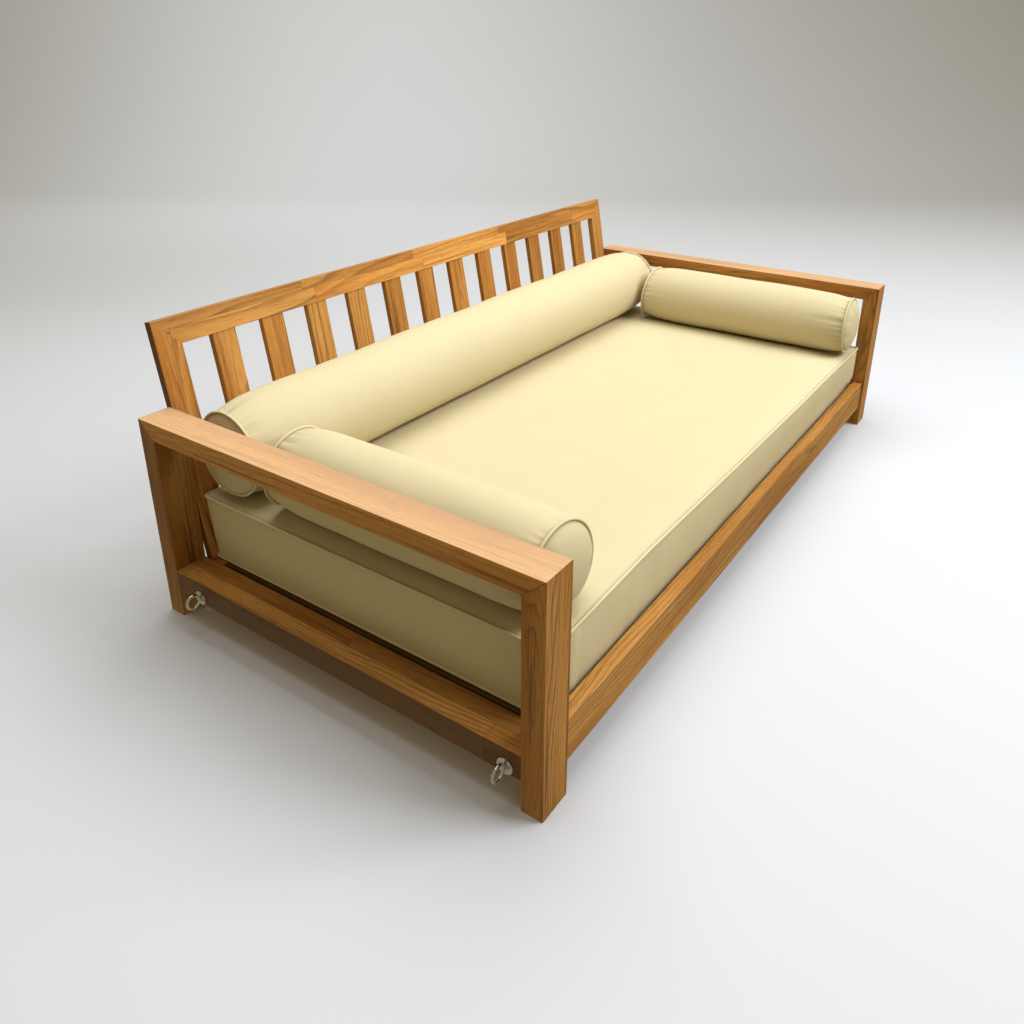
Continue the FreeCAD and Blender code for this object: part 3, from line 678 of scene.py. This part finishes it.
def dress_cushion(piece, cords, name):
    """Smooth a cushion, clothe it and its piping, and say what they ride on and stand for."""
    settings = bpy.context.scene.daybed_cloth
    smooth_finish(piece)
    title = name.replace("_", " ").title()
    cloth = make_cloth(title + " Cloth", tuple(settings.cloth_colour))
    cord_cloth = make_cloth(title + " Piping Cloth", tuple(settings.cord_colour), use_layout=False)
    for item, material in [(cord, cord_cloth) for cord in cords] + [(piece, cloth)]:
        item.data.materials.clear()
        item.data.materials.append(material)
        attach(item, name)
    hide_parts(name + "_cover", name + "_core")


# ---------------------------------------------------------------- mattress
MATTRESS_CORNER = 0.009
MATTRESS_SWELL = 0.012
MATTRESS_PUCKER = 0.17  # share of the bolsters' pucker depth
PANEL_INSET = 0.03      # how far in the seams' outward direction is taken from
PIPING_PROUD = 0.0012
LOW_PIPING_LIFT = 0.0034
FRONT_BOW = ((-0.90, -0.004), (-0.58, 0.001), (-0.36, -0.002), (-0.10, -0.006),
             (0.10, -0.008), (0.34, -0.011), (0.63, -0.011), (0.95, -0.015))


def mattress_blank(low, high, corner, step=0.0125):
    """A box ringed with cuts, closest near its edges, with its upright corners rounded."""
    size = [high[i] - low[i] for i in range(3)]
    bpy.ops.mesh.primitive_cube_add(size=1.0, location=[(low[i] + high[i]) / 2 for i in range(3)],
                                    scale=size)
    piece = bpy.context.active_object
    piece.name = "mattress_pad"
    bpy.ops.object.transform_apply(location=True, rotation=True, scale=True)
    for axis in range(3):
        cut_along(piece, axis, max(2, round(size[axis] / step)) - 1)
    points = read_points(piece)
    for axis, crowding in ((0, 0.72), (1, 0.72), (2, 0.60)):
        points[:, axis] = crowd_ends(points[:, axis], low[axis], high[axis], crowding)
    middle = (np.array(low) + np.array(high)) / 2
    half = np.array(size) / 2
    local = points - middle
    inner = np.array([half[0] - corner, half[1] - corner])
    nearest = np.clip(local[:, :2], -inner, inner)
    reach = local[:, :2] - nearest
    length = np.linalg.norm(reach, axis=1)
    widest = np.abs(reach).max(axis=1)
    squeeze = np.where(length > 1e-9, widest / np.maximum(length, 1e-9), 1.0)
    local[:, :2] = nearest + reach * squeeze[:, None]
    points = local + middle
    write_points(piece, points)
    return piece, points


def lay_under_bolsters(points, gap=0.0008):
    """Press the top of the mattress down to just under each bolster's belly."""
    for name, axis in (("back_bolster_cover", 0), ("left_bolster_cover", 1), ("right_bolster_cover", 1)):
        low, high = (np.array(corner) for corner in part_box(name))
        across = 1 - axis
        radius = (high[2] - low[2]) / 2
        centre_z = (high[2] + low[2]) / 2
        offset = points[:, across] - (low[across] + high[across]) / 2
        inside = (np.abs(offset) < radius) & (points[:, axis] > low[axis] - 0.01) \
            & (points[:, axis] < high[axis] + 0.01)
        belly = centre_z - np.sqrt(np.maximum(radius ** 2 - offset ** 2, 0.0)) - gap
        over = inside & (points[:, 2] > belly) & (points[:, 2] > centre_z - radius - 0.03)
        points[over, 2] = belly[over]
    return points


class DAYBED_OT_make_mattress(bpy.types.Operator):
    """Make the loose mattress: a boxed cover with piped edges round its filling"""
    bl_idname = "daybed.make_mattress"
    bl_label = "Make Mattress"

    def execute(self, context):
        settings = context.scene.daybed_cloth
        low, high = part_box("mattress_cover")
        low = [low[0] + 0.001, low[1] + 0.002, low[2]]
        high = [high[0] - 0.001, high[1] - 0.001, high[2] - 0.0005]
        deselect_all()
        piece, blank = mattress_blank(low, high, MATTRESS_CORNER)

        def box_layout(face):
            normal = [abs(value) for value in face.normal]
            drop = normal.index(max(normal))
            keep = [i for i in (0, 1, 2) if i != drop]
            return [tuple(blank[index][i] for i in keep) for index in face.vertices]

        put_layout(piece, box_layout)
        rim = self.rim(piece)
        top_seam = rim & (blank[:, 2] > high[2] - 1e-4)
        low_seam = rim & (blank[:, 2] < low[2] + 1e-4)
        swell(piece, top_seam | low_seam | (blank[:, 2] < low[2] + 1e-4), MATTRESS_SWELL)
        points = read_points(piece)
        points = self.work_seams(points, blank, low, high, settings.pucker_depth * MATTRESS_PUCKER)
        points = self.settle(points, blank, low, high)
        points = lay_under_bolsters(points)
        write_points(piece, points)
        # Painted shade along the mattress's seams, kept as a point attribute.
        paint_crease_shade(piece, self.seam_distance(blank, low, high))
        away = self.away_from_panel(read_points(piece), low, high)
        cords = []
        for name, seam, rise in (("mattress_top_piping", top_seam, PIPING_PROUD),
                                 ("mattress_bottom_piping", low_seam, LOW_PIPING_LIFT)):
            push = np.column_stack([away * PIPING_PROUD, np.full(len(away), rise)])
            cords.append(pipe_seam(piece, name, seam, push, settings.piping_radius))
        dress_cushion(piece, cords, "mattress")
        return {"FINISHED"}

    @staticmethod
    def away_from_panel(points, low, high):
        """Which way is out of the mattress, level, at each point near its edge."""
        low, high = np.array(low[:2]), np.array(high[:2])
        return unit(points[:, :2] - np.clip(points[:, :2], low + PANEL_INSET, high - PANEL_INSET))

    @staticmethod
    def rim(piece):
        """The points where the top or bottom panel meets the boxing."""
        flat = np.zeros(len(piece.data.vertices), bool)
        side = np.zeros(len(piece.data.vertices), bool)
        for face in piece.data.polygons:
            target = flat if abs(face.normal.z) > 0.8 else side
            for index in face.vertices:
                target[index] = True
        return flat & side

    @staticmethod
    def seam_distance(blank, low, high):
        inset = np.minimum(np.minimum(blank[:, 0] - low[0], high[0] - blank[:, 0]),
                           np.minimum(blank[:, 1] - low[1], high[1] - blank[:, 1]))
        rise = np.minimum(blank[:, 2] - low[2], high[2] - blank[:, 2])
        return np.maximum(inset, rise)

    @staticmethod
    def settle(points, blank, low, high):
        """The slack of a used mattress: its front edge bows, its upper rear edge leans on the back."""
        height = ease(blank[:, 2], low[2] + 0.03, high[2])
        height = height * height * (3 - 2 * height)
        forward = ease(-blank[:, 1], -low[1] - 0.30, -low[1])
        backward = ease(blank[:, 1], high[1] - 0.25, high[1])
        outward = ease(np.abs(blank[:, 0]), high[0] - 0.20, high[0]) * np.sign(blank[:, 0])
        bow = np.interp(blank[:, 0], *zip(*FRONT_BOW))
        points[:, 1] += (bow * forward ** 2 + 0.010 * backward ** 2) * height
        above_rail = ease(blank[:, 2], 0.150, 0.170)
        corner = ease(blank[:, 0], high[0] - 0.16, high[0]) * forward ** 2
        points[:, 1] -= 0.016 * corner ** 1.5 * above_rail * (1 - height)
        points[:, 0] += np.where(outward > 0, 0.010, 0.003) * outward * np.abs(outward) * above_rail
        return points

    @classmethod
    def work_seams(cls, points, blank, low, high, depth):
        """Fine puckers beside the seams and a slow waviness of the panels."""
        rng = np.random.default_rng(11)
        top = blank[:, 2] > high[2] - 1e-4
        inset = np.minimum(np.minimum(blank[:, 0] - low[0], high[0] - blank[:, 0]),
                           np.minimum(blank[:, 1] - low[1], high[1] - blank[:, 1]))
        gather = smooth_random(rng, blank[:, :2], 0.035) * depth * np.exp(-inset / 0.03)
        slow = smooth_random(rng, blank[:, :2], 0.33) * 0.0011
        slow += smooth_random(rng, blank[:, :2], 0.12) * 0.0004
        edge = np.clip(inset / 0.05, 0, 1)
        points[top, 2] -= (0.0026 * np.exp(-inset / 0.0045))[top]
        points[top, 2] += (slow * edge + gather * np.clip(inset / 0.012, 0, 1))[top]
        side = ~top & (blank[:, 2] > low[2] + 1e-4)
        rise = (blank[:, 2] - low[2]) / (high[2] - low[2])
        near = np.minimum(rise, 1 - rise) * (high[2] - low[2])
        ripple = smooth_random(rng, blank[:, :2], 0.045) * depth * 1.3 * np.exp(-near / 0.07) \
            + smooth_random(rng, blank, 0.22) * 0.0011
        ripple *= np.clip(near / 0.012, 0, 1)
        away = cls.away_from_panel(blank, low, high)
        points[side, :2] += (away * ripple[:, None])[side]
        return points


# ---------------------------------------------------------------- bolsters
ROUND = 144             # squares round a bolster
GATHERS = 30            # gathers round each end seam
CAP_FOLDS = 14          # folds round each cap
BOLSTER_SWELL = 0.0075
SIDE_DOME = 0.030       # how far a side bolster's cap domes out
SIDE_DRAW = 0.105       # how far its seams draw in, as a share of its radius
SIDE_REACH = 0.022      # how far its rear end presses into the back bolster
SIDE_TILT = 0.012       # how far that end leans, top to bottom
DENT_ROOM = 0.0015      # kept between that end and the dent it makes


def bolster_blank(name, radius, half, dome, rings):
    """A round blank along Z: a ringed body between two seams, and a flat cap of squares on each end."""
    seam = half - dome
    bpy.ops.mesh.primitive_cylinder_add(vertices=ROUND, radius=radius, depth=2 * seam,
                                        end_fill_type="NOTHING", location=(0, 0, 0))
    piece = bpy.context.active_object
    piece.name = name
    cut_along(piece, 2, rings)
    for end in (-1, 1):
        select_edges(piece, lambda *ends: all(end * point.co.z > seam - 1e-5 for point in ends))
        bpy.ops.mesh.fill_grid(span=ROUND // 4)
        bpy.ops.object.mode_set(mode="OBJECT")
    points = read_points(piece)
    rho = np.hypot(points[:, 0], points[:, 1])
    cap = (np.abs(points[:, 2]) > seam - 1e-5) & (rho < radius - 1e-5)
    on_seam = (np.abs(points[:, 2]) > seam - 1e-5) & ~cap
    points[:, 2] = np.where(cap | on_seam, points[:, 2], crowd_ends(points[:, 2], -seam, seam, 0.72))
    return piece, points, rho, cap, on_seam


def shape_bolster(points, rho, cap, radius, half, dome, draw, shoulder, drifts, reach):
    """Draw the body in to each seam over its shoulder, dome the caps, and let the seams drift."""
    seam = half - dome
    shaped = points.copy()
    side = np.sign(points[:, 2])
    from_seam = seam - np.abs(points[:, 2])
    body = radius * (1 - draw * np.exp(-(np.maximum(from_seam, 0) / shoulder) ** 1.3))
    scale = np.where(cap, 1 - draw, body / radius)
    shaped[:, :2] *= scale[:, None]
    share = rho / radius
    rise = dome * (1 - np.clip(share, 0, 1) ** 2.3) ** 0.75
    shaped[:, 2] = np.where(cap, side * (seam + rise), shaped[:, 2])
    angle = np.arctan2(points[:, 1], points[:, 0])
    near = np.exp(-np.maximum(from_seam, 0) / 0.07) * np.where(cap, share ** 1.5, 1.0)
    for end, (size, toward) in zip((-1, 1), drifts):
        drift = size * np.cos(angle - toward) + 0.0012 * np.cos(2 * angle - toward * 3)
        shaped[:, 2] -= np.where(side == end, end * drift * near, 0)
    shaped[:, 2] += np.where(side > 0, reach[1], -reach[0]) * near
    return shaped


def dent_beside(points, centre_y):
    """The side bolsters' soft ends press into the front of the back bolster."""
    for side in SIDES:
        low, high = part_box(side + "_bolster_cover")
        radius = (high[2] - low[2]) / 2
        away = np.hypot(points[:, 0] - (low[0] + high[0]) / 2, points[:, 2] - (low[2] + high[2]) / 2)
        share = np.clip(away / (radius * (1 - SIDE_DRAW)), 0, 1)
        below = (high[2] + low[2] - 2 * points[:, 2]) / (high[2] - low[2])
        sunk = SIDE_DOME * (1 - (1 - share ** 2.3) ** 0.75)
        face = high[1] + SIDE_REACH + SIDE_TILT * below - sunk + DENT_ROOM
        inside = (share < 1) & (points[:, 1] < centre_y) & (points[:, 1] < face)
        points[inside, 1] = face[inside]
    return points


def gather_bolster(points, blank, cap, radius, half, dome, depth, seed, rest_angle):
    """Gathers run from each end seam into the body, with a few long drag lines and soft dents, and painted
    shade for their furrows.
    """
    rng = np.random.default_rng(seed)
    seam = half - dome
    angle = np.arctan2(blank[:, 1], blank[:, 0])
    direction = np.stack([np.cos(angle), np.sin(angle)], axis=1)
    push = np.zeros(len(points))
    # Painted shade in the gathers' furrows, strongest near the seams.
    shade = np.zeros(len(points))
    for end in (-1, 1):
        from_seam = np.abs(end * seam - blank[:, 2])
        for number in range(GATHERS):
            place = (number + rng.uniform(-0.35, 0.35)) / GATHERS * 2 * math.pi
            width = rng.uniform(0.042, 0.066)
            reach = rng.uniform(0.012, 0.026)
            if rng.random() < 0.16:
                reach = rng.uniform(0.035, 0.065)
                width *= 1.6
            size = depth * rng.uniform(0.35, 1.0)
            fade = np.exp(-from_seam / reach) * (1 - np.exp(-from_seam / 0.004))
            furrow = np.exp(-(turned(angle, place) / width) ** 2)
            push -= size * furrow * fade
            shade = np.maximum(shade, 0.55 * size / depth * furrow * np.exp(-from_seam / (0.7 * reach)))
        cap_side = cap & (np.sign(blank[:, 2]) == end)
        share = np.hypot(blank[:, 0], blank[:, 1]) / radius
        wave = np.zeros(len(points))
        for _ in range(CAP_FOLDS):
            place = rng.uniform(0, 2 * math.pi)
            wave -= rng.uniform(0.3, 1.0) * np.exp(-(turned(angle, place) / 0.09) ** 2)
        points[:, 2] += np.where(cap_side, end * wave * depth * 0.5 * np.clip((share - 0.45) / 0.5, 0, 1)
                                 * np.clip((1 - share) / 0.08, 0, 1), 0)
    round_places = np.stack([np.cos(angle) * radius, np.sin(angle) * radius, blank[:, 2]], axis=1)
    push += np.where(cap, 0, smooth_random(rng, round_places, 0.26) * 0.0010
                     + smooth_random(rng, round_places, 0.09) * 0.0003)
    points[:, :2] += direction * np.where(cap, 0, push)[:, None]
    press = 0.0022 * np.exp(-(turned(angle, rest_angle) / 0.35) ** 2)
    points[:, :2] -= direction * np.where(cap, 0, press)[:, None]
    return points, np.where(cap, 0, shade)


def make_bolster(name, dome, draw, shoulder, rings, seed, drifts, reach=(0.0, 0.0)):
    """One bolster in the space of its CAD solid: swollen cover, gathered ends and piped seams."""
    settings = bpy.context.scene.daybed_cloth
    low, high = (Vector(corner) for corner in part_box(name + "_cover"))
    size = high - low
    centre = (high + low) / 2
    along_x = size.x > size.y
    half = max(size.x, size.y) / 2 - 0.001
    radius = size.z / 2 - 0.0035
    deselect_all()
    piece, blank, rho, cap, on_seam = bolster_blank(name + "_pad", radius, half, dome, rings)
    points = shape_bolster(blank, rho, cap, radius, half, dome, draw, shoulder, drifts, reach)
    write_points(piece, points)
    angles = np.arctan2(blank[:, 1], blank[:, 0])

    def wrapped_layout(face):
        if abs(face.normal.z) > 0.6 and all(rho[index] < radius + 1e-5 for index in face.vertices) \
                and all(abs(blank[index][2]) > half - dome - 1e-5 for index in face.vertices):
            return [(blank[index][0], blank[index][1]) for index in face.vertices]
        first = angles[face.vertices[0]]
        return [((first + math.remainder(angles[index] - first, 2 * math.pi)) * radius, blank[index][2])
                for index in face.vertices]

    put_layout(piece, wrapped_layout)
    swell(piece, on_seam, BOLSTER_SWELL)
    # The blank stands upright. Its Z becomes the long axis, and rest_angle tells the side it lies on.
    axis = 0 if along_x else 1
    rest_angle = math.pi if along_x else -math.pi / 2
    points, painted_gather_shade = gather_bolster(read_points(piece), blank, cap, radius, half, dome,
                                     settings.pucker_depth, seed, rest_angle)
    turn = ((0, 0, 1), (0, 1, 0), (1, 0, 0)) if along_x else ((1, 0, 0), (0, 0, 1), (0, 1, 0))
    points = points @ np.array(turn).T + np.array(centre)
    if along_x:
        points = dent_beside(points, centre.y)
    write_points(piece, points)
    # Painted shade along the seams and in the gathers' furrows.
    paint_crease_shade(piece, np.where(cap, radius - rho, half - dome - np.abs(blank[:, 2])), painted_gather_shade)
    face_outwards(piece)
    away = read_points(piece) - np.array(centre)
    away[:, axis] = 0
    away = unit(away)
    cords = []
    for end, word in ((-1, "first"), (1, "second")):
        push = away * 0.0018
        push[:, axis] += end * 0.0008
        cords.append(pipe_seam(piece, name + "_" + word + "_piping",
                               on_seam & (np.sign(blank[:, 2]) == end), push, settings.piping_radius))
    dress_cushion(piece, cords, name)


class DAYBED_OT_make_back_bolster(bpy.types.Operator):
    """Make the long bolster that lies against the leaning back"""
    bl_idname = "daybed.make_back_bolster"
    bl_label = "Make Back Bolster"

    def execute(self, context):
        make_bolster("back_bolster", dome=0.016, draw=0.155, shoulder=0.048, rings=150, seed=21,
                     drifts=((0.003, 0.6), (0.003, 2.4)))
        return {"FINISHED"}


class DAYBED_OT_make_side_bolsters(bpy.types.Operator):
    """Make the two shorter bolsters that lie along the arms"""
    bl_idname = "daybed.make_side_bolsters"
    bl_label = "Make Side Bolsters"

    def execute(self, context):
        for side, seed, front_drift, front_reach in (("left", 31, (0.009, 2.8), 0.0),
                                                     ("right", 43, (0.003, 1.0), 0.009)):
            make_bolster(side + "_bolster", SIDE_DOME, SIDE_DRAW, shoulder=0.038, rings=70, seed=seed,
                         drifts=(front_drift, (-SIDE_TILT, -math.pi / 2)),
                         reach=(front_reach, SIDE_REACH))
        return {"FINISHED"}


# ---------------------------------------------------------------- timber and fittings
PAINTED_SHADE_BASE_TONE = -0.82       # the hidden base is darkened far below the teak, as painted shade in the gaps beside the mattress


class DAYBED_OT_finish_timber(bpy.types.Operator):
    """Oil the teak end frames, rails and back, and finish the plain base timber"""
    bl_idname = "daybed.finish_timber"
    bl_label = "Finish Timber"

    def execute(self, context):
        for side in SIDES:
            self.finish_end_frame(side)
        give(["front_rail"], make_teak("Teak Front Rail", "lengthwise", 5, waviness=0.016,
                                       streaks=0.6))
        give(["rear_rail"], make_teak("Teak Rear Rail", "lengthwise", 6))
        self.finish_back()
        # The base slats and cleats are darkened far below the teak: painted shade for the dark gaps beside
        # the mattress.
        give(["base_slat_%02d" % number for number in range(1, 14)],
             make_teak("Base Timber", "front_to_back", 9, tone=PAINTED_SHADE_BASE_TONE, streaks=0.2))
        give(["front_cleat", "rear_cleat"], make_teak("Cleat Timber", "lengthwise", 10, tone=PAINTED_SHADE_BASE_TONE))
        give(["mitre_dowels"], make_teak("Dowel Timber", "upright", 12, tone=0.2))
        return {"FINISHED"}

    @staticmethod
    def finish_end_frame(side):
        low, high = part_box(side + "_arm_rail")
        post_low, post_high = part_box(side + "_front_post")
        post_depth = post_high[1] - post_low[1]
        thick = high[2] - low[2]
        front = ((0, low[1], high[2]), (0, thick, post_depth))
        rear = ((0, high[1], high[2]), (0, -thick, post_depth))
        seed = 100 if side == "left" else 200
        # The arm tops get pale=0.36: painted top light on their up-facing faces.
        give([side + "_arm_rail"], make_teak("Teak %s Arm" % side.title(), "front_to_back", seed + 1,
                                             tone=0.05, warmth=0.03, pale=0.36, streaks=0.65, rings=0.35,
                                             joints=(front, rear)))
        give([side + "_front_post"], make_teak("Teak %s Front Post" % side.title(), "upright", seed + 2,
                                               tone=-0.06, waviness=0.026, streaks=0.75,
                                               joints=(front,)))
        give([side + "_rear_post"], make_teak("Teak %s Rear Post" % side.title(), "upright", seed + 3,
                                              tone=-0.30, waviness=0.014, streaks=0.7, joints=(rear,)))
        give([side + "_end_rail"], make_teak("Teak %s End Rail" % side.title(), "front_to_back", seed + 4,
                                             tone=-0.12, strips=(0.0385, 0.85, 1.04), streaks=0.6))

    @staticmethod
    def finish_back():
        for side, seed in (("left", 301), ("right", 302)):
            give(["back_%s_stile" % side], make_teak("Teak %s Stile" % side.title(), "back_upright", seed,
                                                     strips=(0.032, 4.0, 0.961), streaks=0.5, tone=0.14))
        give(["back_top_rail"], make_teak("Teak Back Top Rail", "back_lengthwise", 303,
                                          strips=(0.045, 0.42, -0.60), streaks=0.4, tone=0.20))
        give(["back_low_rail"], make_teak("Teak Back Low Rail", "back_lengthwise", 304))
        for number in range(1, 13):
            chance = random.Random(400 + number)
            give(["back_slat_%02d" % number],
                 make_teak("Teak Slat %02d" % number, "back_upright", 400 + number,
                           tone=chance.uniform(0.02, 0.26), streaks=chance.uniform(0.45, 0.9),
                           waviness=chance.uniform(0.008, 0.02)))


class DAYBED_OT_finish_fittings(bpy.types.Operator):
    """Finish the eye bolts, washers, nuts, screws, back bolts and inserts"""
    bl_idname = "daybed.finish_fittings"
    bl_label = "Finish Fittings"

    def execute(self, context):
        bright = make_metal("Bright Steel", (0.60, 0.60, 0.59), 0.16, 700.0)
        eyes = [side + "_" + place + "_eye_bolt" for side in SIDES for place in ("front", "rear")]
        give(eyes + ["eye_bolt_washers", "eye_bolt_nuts"], bright)
        zinc = make_metal("Zinc Plate", (0.62, 0.63, 0.65), 0.34, 500.0)
        give(["slat_screws", "cleat_screws", "back_bolts"], zinc)
        give(["back_bolt_inserts"], make_metal("Brass", (0.72, 0.50, 0.20), 0.30, 400.0))
        return {"FINISHED"}


# ---------------------------------------------------------------- stage
CAMERA_PLACE = (-1.9425, -1.1224, 1.2393)
CAMERA_FORWARD = Vector((0.763952, 0.523924, -0.376671))
CAMERA_RIGHT = Vector((0.567036, -0.823682, 0.004358))
FLOOR_NEAR, FLOOR_FAR, FLOOR_HALF_WIDTH = -14.0, 5.2, 16.0
COVE_RADIUS, COVE_STEPS, BACKDROP_HEIGHT = 3.2, 14, 7.0
LAMP_COLOUR = (0.93, 0.965, 1.0)
AIR_COLOUR, AIR_STRENGTH = (1.0, 0.87, 0.56, 1.0), 0.37


class DAYBED_OT_set_stage(bpy.types.Operator):
    """Set the pale studio floor with its coved backdrop, the soft lights and the camera"""
    bl_idname = "daybed.set_stage"
    bl_label = "Set Stage"

    def execute(self, context):
        self.lay_floor(context)
        self.hang_lights(context)
        self.place_camera(context)
        return {"FINISHED"}

    @staticmethod
    def lay_floor(context):
        settings = context.scene.daybed_stage
        deselect_all()
        bpy.ops.mesh.primitive_plane_add(size=1.0, location=(0, 0, 0))
        floor = context.active_object
        floor.name = "studio_floor"
        view = Vector((CAMERA_FORWARD.x, CAMERA_FORWARD.y, 0)).normalized()
        side = Vector((view.y, -view.x, 0)) * FLOOR_HALF_WIDTH
        corners = [view * away + across for away in (FLOOR_NEAR, FLOOR_FAR) for across in (-side, side)]
        for vertex, place in zip(floor.data.vertices, corners):
            vertex.co = place
        select_edges(floor, lambda *ends: all(end.co.dot(view) > FLOOR_FAR - 0.01 for end in ends))
        turns = [number / COVE_STEPS * math.pi / 2 for number in range(COVE_STEPS + 1)]
        steps = [view * (math.sin(second) - math.sin(first)) * COVE_RADIUS
                 + Vector((0, 0, (math.cos(first) - math.cos(second)) * COVE_RADIUS))
                 for first, second in zip(turns, turns[1:])]
        for step in steps + [Vector((0, 0, BACKDROP_HEIGHT))]:
            bpy.ops.mesh.extrude_edges_move(TRANSFORM_OT_translate={"value": step})
        bpy.ops.object.mode_set(mode="OBJECT")
        bpy.ops.object.shade_smooth()
        material, tree, shader = new_material("Studio Paper")
        place = add_node(tree, "ShaderNodeTexCoord", (-900, 0))
        mottle = stretched_noise(tree, place.outputs["Object"], (1.0, 1.0, 1.0), 1.3, 2.0)
        colour = tuple(settings.floor_colour)
        shade = blend_colours(tree, mottle, colour, tuple(channel * 0.985 for channel in colour))
        join(tree, shade, shader.inputs["Base Color"])
        shader.inputs["Roughness"].default_value = 0.85
        shader.inputs["Specular IOR Level"].default_value = 0.1
        floor.data.materials.append(material)
        floor.visible_diffuse = False
        floor.visible_glossy = False

    @staticmethod
    def hang_lights(context):
        settings = context.scene.daybed_stage
        world = bpy.data.worlds.new("Studio Air")
        world.use_nodes = True
        sky = world.node_tree.nodes["Background"]
        sky.inputs["Color"].default_value = AIR_COLOUR
        sky.inputs["Strength"].default_value = AIR_STRENGTH
        context.scene.world = world
        lamps = (("key_softbox", (1.85, -4.2, 4.25), (0.2, -0.1, 0.2), 3.2, settings.key_power),
                 ("top_softbox", (0.3, 0.4, 4.2), (0.0, 0.0, 0.0), 3.6, settings.top_power),
                 ("wall_softbox", (2.4, 4.0, 3.8), (5.8, 6.2, 1.4), 3.0, settings.wall_power))
        for name, place, aim, size, power in lamps:
            data = bpy.data.lights.new(name, "AREA")
            data.shape = "SQUARE"
            data.size = size
            data.energy = power
            data.color = LAMP_COLOUR
            lamp = bpy.data.objects.new(name, data)
            context.scene.collection.objects.link(lamp)
            lamp.location = place
            lamp.rotation_euler = (Vector(aim) - Vector(place)).to_track_quat("-Z", "Y").to_euler()

    @staticmethod
    def place_camera(context):
        data = bpy.data.cameras.new("studio_camera")
        data.sensor_width = 36.0
        data.lens = 29.939
        data.shift_x = -0.01202
        data.shift_y = -0.12066
        data.clip_start = 0.05
        data.clip_end = 100.0
        camera = bpy.data.objects.new("studio_camera", data)
        context.scene.collection.objects.link(camera)
        turn = Matrix((CAMERA_RIGHT, CAMERA_RIGHT.cross(CAMERA_FORWARD), -CAMERA_FORWARD)).transposed()
        camera.matrix_world = Matrix.Translation(CAMERA_PLACE) @ turn.to_4x4()
        context.scene.camera = camera
        context.scene.view_settings.view_transform = "Standard"


# ---------------------------------------------------------------- panel and run
class DAYBED_PT_panel(bpy.types.Panel):
    bl_label = "Daybed"
    bl_idname = "DAYBED_PT_panel"
    bl_space_type = "VIEW_3D"
    bl_region_type = "UI"
    bl_category = "Daybed"

    def draw(self, context):
        for group in ("daybed_timber", "daybed_cloth", "daybed_stage"):
            settings = getattr(context.scene, group)
            column = self.layout.column(align=True)
            for name in type(settings).__annotations__:
                column.prop(settings, name)
        for operator in OPERATORS:
            self.layout.operator(operator.bl_idname)


OPERATORS = (DAYBED_OT_set_stage, DAYBED_OT_finish_timber, DAYBED_OT_finish_fittings,
             DAYBED_OT_make_mattress, DAYBED_OT_make_back_bolster, DAYBED_OT_make_side_bolsters)
SETTINGS = (DaybedTimberSettings, DaybedClothSettings, DaybedStageSettings)
CLASSES = SETTINGS + OPERATORS + (DAYBED_PT_panel,)


def register():
    for item in CLASSES:
        bpy.utils.register_class(item)
    bpy.types.Scene.daybed_timber = bpy.props.PointerProperty(type=DaybedTimberSettings)
    bpy.types.Scene.daybed_cloth = bpy.props.PointerProperty(type=DaybedClothSettings)
    bpy.types.Scene.daybed_stage = bpy.props.PointerProperty(type=DaybedStageSettings)


def unregister():
    del bpy.types.Scene.daybed_timber
    del bpy.types.Scene.daybed_cloth
    del bpy.types.Scene.daybed_stage
    for item in reversed(CLASSES):
        bpy.utils.unregister_class(item)


def main():
    register()
    bpy.ops.daybed.set_stage()
    bpy.ops.daybed.finish_timber()
    bpy.ops.daybed.finish_fittings()
    bpy.ops.daybed.make_mattress()
    bpy.ops.daybed.make_back_bolster()
    bpy.ops.daybed.make_side_bolsters()


if __name__ == "__main__":
    main()
